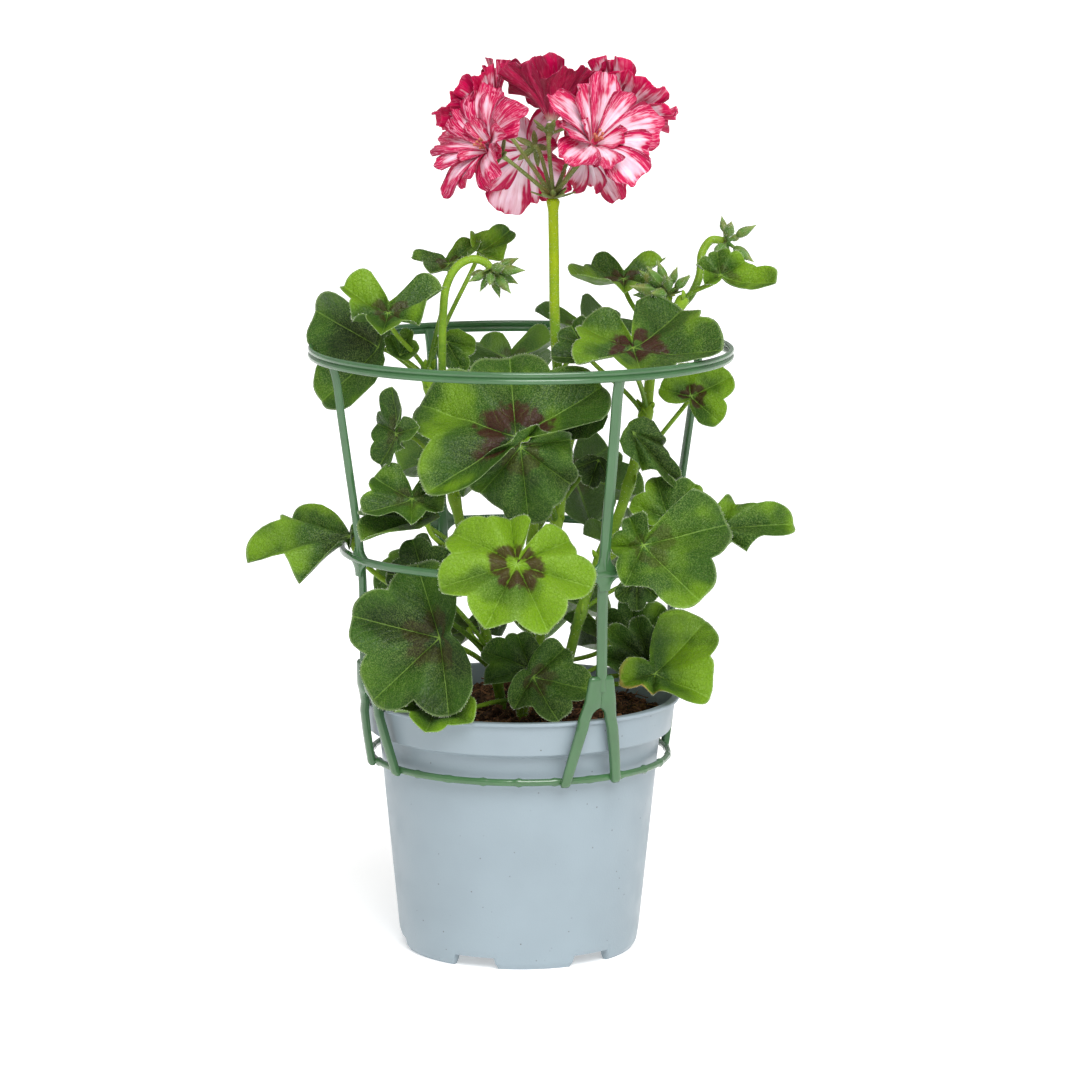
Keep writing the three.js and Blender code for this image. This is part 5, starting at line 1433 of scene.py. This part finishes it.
class PlantColours(bpy.types.PropertyGroup):
    """Colours of the plant, the pot and the cage."""

    pot: colour_choice("Pot", "Moulded plastic of the pot", linear(140, 154, 162))
    cage: colour_choice("Cage", "Moulded plastic of the support cage", linear(60, 98, 60))
    # darkest leaf colour, given to leaves deep in the plant: partly painted shade
    leaf_dark_and_shaded: colour_choice("Dark leaf", "Leaves deep in the plant", linear(17, 40, 6))
    leaf: colour_choice("Leaf", "Most leaves", linear(40, 76, 10))
    leaf_bright: colour_choice("Bright leaf", "Young leaves", linear(104, 142, 14))
    zone: colour_choice("Leaf zone", "Brown horseshoe on a leaf", linear(58, 34, 22))
    stem: colour_choice("Stem", "Main stems and the feet of leaf stalks", linear(70, 108, 24))
    stalk: colour_choice("Stalk", "Ends of leaf stalks", linear(124, 160, 40))
    bloom_stalk: colour_choice("Bloom stalk", "Top of the bloom's long stalk", linear(152, 174, 4))
    bud: colour_choice("Bud", "Closed buds and their bracts", linear(82, 122, 44))
    calyx: colour_choice("Calyx", "Pedicels, calyces and bracts of the bloom", linear(98, 112, 48))
    petal_margin: colour_choice("Petal margin", "Margins and streaks of a petal", linear(190, 0, 74))
    petal_centre: colour_choice("Petal centre", "Middle of a petal", linear(252, 226, 240))


class StudioLight(bpy.types.PropertyGroup):
    """Lights of the studio."""

    sun: light_choice("Key light", "Strength of the broad light from high in front, a little to the right", 2.9)
    horizon: light_choice("Walls", "Brightness of the white walls all round", 0.5)
    floor: light_choice("Floor glow", "Light that the floor gives off, as paper lit from below", 0.38)
    zenith: light_choice("Ceiling", "Brightness overhead", 0.62)


# ---- Operators: one for each piece or group of like pieces, and one for the stage ----


class DressPot(bpy.types.Operator):
    """Makes the pot with its notched foot ring and drain holes"""

    bl_idname = "geranium.dress_pot"
    bl_label = "Pot"

    def execute(self, context):
        material = pot_material(tuple(context.scene.plant_colours.pot))
        corner = context.scene.pot_shape.pot_corner / MM
        pot = make_piece("pot_body", [pot_surface(corner)], material, ["pot"])
        cut_drain_holes(pot)
        pot.data.set_sharp_from_angle(angle=math.radians(50))
        return {"FINISHED"}


class DressPeat(bpy.types.Operator):
    """Makes the peat with its crumbs and fibres"""

    bl_idname = "geranium.dress_peat"
    bl_label = "Peat"

    def execute(self, context):
        shape = context.scene.plant_shape
        draw = np.random.default_rng(5)
        material = peat_material()
        make_piece("peat_body", [soil_surface()], material, ["soil"])
        make_piece("peat_crumbs", [crumbs(shape.crumb_count, draw)], material, ["soil"])
        strewn = [fibre(draw) for _ in range(shape.fibre_count)]
        if strewn:
            make_piece("peat_fibres", strewn, material, ["soil"])
        return {"FINISHED"}


class DressCage(bpy.types.Operator):
    """Makes the support cage: three rings, four ribbed legs with webs, and their forked clips"""

    bl_idname = "geranium.dress_cage"
    bl_label = "Support cage"

    def execute(self, context):
        material = cage_material(tuple(context.scene.plant_colours.cage))
        surfaces = cage_surfaces(context.scene.pot_shape.leg_rib)
        make_piece("cage_frame", surfaces, material, ["support_cage"], 60)
        return {"FINISHED"}


class DressLeafyStems(bpy.types.Operator):
    """Makes the leafy stems: veined blades, stalks with stipules, and hairs"""

    bl_idname = "geranium.dress_leafy_stems"
    bl_label = "Leafy stems"

    def execute(self, context):
        colours = context.scene.plant_colours
        tones = tuple(tuple(c) for c in (colours.leaf_dark_and_shaded, colours.leaf, colours.leaf_bright))
        leaf = leaf_material(tones, tuple(colours.zone))
        stalk = stalk_material("leaf stalk", tuple(colours.stem), tuple(colours.stalk), linear(70, 80, 30))
        hair = hair_material()
        for name in STEMS:
            node = f"leafy_stem_{name}"
            blades, stalks, fuzz = leafy_stem(name, context.scene.plant_shape)
            make_piece(f"leaf_blades_{name}", blades, leaf, [node])
            make_piece(f"leaf_stalks_{name}", stalks, stalk, [node])
            make_piece(f"leaf_hairs_{name}", fuzz, hair, [node])
        return {"FINISHED"}


class DressBloomStalk(bpy.types.Operator):
    """Makes the bloom's green parts: the long stalk, bracts, pedicels and calyces"""

    bl_idname = "geranium.dress_bloom_stalk"
    bl_label = "Bloom stalk"

    def execute(self, context):
        colours = context.scene.plant_colours
        top = tuple(colours.bloom_stalk)
        stalk = stalk_material("bloom stalk", linear(74, 128, 40), top, linear(70, 60, 20))
        long_stalk, green, fuzz = bloom_surfaces(context.scene.plant_shape)
        make_piece("bloom_long_stalk", long_stalk, stalk, ["bloom_stalk"])
        calyx = bud_material("calyx", tuple(colours.calyx))
        make_piece("bloom_calyces", green, calyx, ["bloom_stalk"])
        make_piece("bloom_hairs", fuzz, hair_material(), ["bloom_stalk"])
        return {"FINISHED"}


class DressFlorets(bpy.types.Operator):
    """Makes the florets: ruffled petals and stamens"""

    bl_idname = "geranium.dress_florets"
    bl_label = "Florets"

    def execute(self, context):
        colours = context.scene.plant_colours
        petal = petal_material(tuple(colours.petal_margin), tuple(colours.petal_centre))
        pollen = Shader("stamen", 0.6, Base_Color=linear(196, 120, 90)).material
        for number, floret in enumerate(FLORETS, 1):
            node = f"floret_{number}"
            surfaces = floret_surfaces(floret, number, context.scene.plant_shape.petal_ruffle)
            make_piece(f"petals_{number}", surfaces, petal, [node])
            make_piece(f"stamens_{number}", stamens(floret), pollen, [node])
        return {"FINISHED"}


class DressBudSprays(bpy.types.Operator):
    """Makes the sprays of closed buds: stalks, bracts, overlapping sepals and hairs"""

    bl_idname = "geranium.dress_bud_sprays"
    bl_label = "Bud sprays"

    def execute(self, context):
        colours = context.scene.plant_colours
        green = bud_material("bud", tuple(colours.bud))
        stalk = stalk_material("bud stalk", tuple(colours.stem), tuple(colours.stalk), linear(70, 60, 20))
        hair = hair_material()
        for name in BUD_SPRAYS:
            node = f"bud_spray_{name}"
            stalks, buds, fuzz = bud_spray(name, context.scene.plant_shape)
            make_piece(f"bud_stalk_{name}", stalks, stalk, [node])
            make_piece(f"buds_{name}", buds, green, [node])
            make_piece(f"bud_hairs_{name}", fuzz, hair, [node])
        return {"FINISHED"}


# The camera stands straight in front at this distance and elevation, turned a little about its own axis.
CAMERA_DISTANCE = 1767.1
CAMERA_ELEVATION = 9.49
CAMERA_AIM = (7.33, 0, 153.97)
CAMERA_ROLL = 0.24
CAMERA_LENS = 157.73
FLOOR_SIZE = 60000.0
KEY_BEARING = 15.0               # where the broad light stands
KEY_PLACE = (1000, 1150)         # its distance in plan, and its height
KEY_SPREAD = 40.0                # how wide it looks from the plant


def aimed(name, data, place, aim):
    """An object that looks from a place to an aim, both in millimetres, with its top upwards."""
    thing = bpy.data.objects.new(name, data)
    turn = (Vector(aim) - Vector(place)).to_track_quat("-Z", "Y").to_matrix().to_4x4()
    thing.matrix_world = Matrix.Translation(Vector(place) * MM) @ turn
    bpy.context.scene.collection.objects.link(thing)
    return thing


def surroundings(horizon, zenith):
    """White walls that brighten to the ceiling, by the height of each direction."""
    world = bpy.data.worlds.new("white surroundings")
    world.use_nodes = True
    nodes, links = world.node_tree.nodes, world.node_tree.links
    split = nodes.new("ShaderNodeSeparateXYZ")
    links.new(nodes.new("ShaderNodeTexCoord").outputs["Generated"], split.inputs[0])
    shade = nodes.new("ShaderNodeMapRange")
    shade.interpolation_type = "SMOOTHSTEP"
    for key, number in (("From Min", 0.1), ("From Max", 0.8), ("To Min", horizon), ("To Max", zenith)):
        shade.inputs[key].default_value = number
    links.new(split.outputs["Z"], shade.inputs["Value"])
    background = nodes["Background"]
    background.inputs["Color"].default_value = (1, 1, 1, 1)
    links.new(shade.outputs[0], background.inputs["Strength"])
    return world


class SetStage(bpy.types.Operator):
    """Sets up the pale floor, the soft studio lights and the camera"""

    bl_idname = "geranium.set_stage"
    bl_label = "Stage"

    def execute(self, context):
        light = context.scene.studio_light
        floor_mesh = bpy.data.meshes.new("floor")
        half = FLOOR_SIZE / 2 * MM
        corners = [(-half, -half, 0), (half, -half, 0), (half, half, 0), (-half, half, 0)]
        floor_mesh.from_pydata(corners, [], [(0, 1, 2, 3)])
        paper = Shader("floor", 0.7, Base_Color=(0.92, 0.92, 0.92), Emission_Color=(1, 1, 1),
                       Emission_Strength=light.floor)
        floor_mesh.materials.append(paper.material)
        floor = bpy.data.objects.new("floor", floor_mesh)
        context.scene.collection.objects.link(floor)
        floor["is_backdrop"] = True

        context.scene.world = surroundings(light.horizon, light.zenith)
        lamp = bpy.data.lights.new("key light", "SUN")
        lamp.energy, lamp.angle = light.sun, math.radians(KEY_SPREAD)
        aimed("key light", lamp, polar(KEY_BEARING, *KEY_PLACE), (0, 0, 170))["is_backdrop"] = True

        elevation = math.radians(CAMERA_ELEVATION)
        back = Vector((0, -math.cos(elevation), math.sin(elevation)))
        lens = bpy.data.cameras.new("camera")
        lens.lens, lens.clip_end = CAMERA_LENS, 20
        camera = aimed("camera", lens, Vector(CAMERA_AIM) + back * CAMERA_DISTANCE, CAMERA_AIM)
        camera.matrix_world = camera.matrix_world @ Matrix.Rotation(math.radians(CAMERA_ROLL), 4, "Z")
        context.scene.camera = camera
        context.scene.view_settings.view_transform = "Standard"
        return {"FINISHED"}


OPERATORS = (
    DressPot, DressPeat, DressCage, DressLeafyStems, DressBloomStalk, DressFlorets, DressBudSprays, SetStage,
)
SETTINGS = {
    "pot_shape": PotShape, "plant_shape": PlantShape,
    "plant_colours": PlantColours, "studio_light": StudioLight,
}


class GeraniumPanel(bpy.types.Panel):
    """Lists the pieces and what can be changed"""

    bl_idname = "VIEW3D_PT_geranium"
    bl_label = "Potted geranium"
    bl_space_type = "VIEW_3D"
    bl_region_type = "UI"
    bl_category = "Geranium"

    def draw(self, context):
        for operator in OPERATORS:
            self.layout.operator(operator.bl_idname)
        for name, group in SETTINGS.items():
            box = self.layout.box()
            for key in group.__annotations__:
                box.prop(getattr(context.scene, name), key)


def register():
    """Makes the settings, the operators and the panel known."""
    for group in SETTINGS.values():
        bpy.utils.register_class(group)
    for name, group in SETTINGS.items():
        setattr(bpy.types.Scene, name, bpy.props.PointerProperty(type=group))
    for thing in OPERATORS + (GeraniumPanel,):
        bpy.utils.register_class(thing)


def unregister():
    """Takes them back."""
    for thing in reversed(OPERATORS + (GeraniumPanel,)):
        bpy.utils.unregister_class(thing)
    for name, group in SETTINGS.items():
        delattr(bpy.types.Scene, name)
        bpy.utils.unregister_class(group)


def main():
    register()
    for operator in OPERATORS:
        getattr(bpy.ops.geranium, operator.bl_idname.split(".")[1])()
    boxes = {"cad": CAD_BOX, "visual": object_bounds()}
    boxes = {name: [list(corner) for corner in box] for name, box in boxes.items()}


if __name__ == "__main__":
    main()
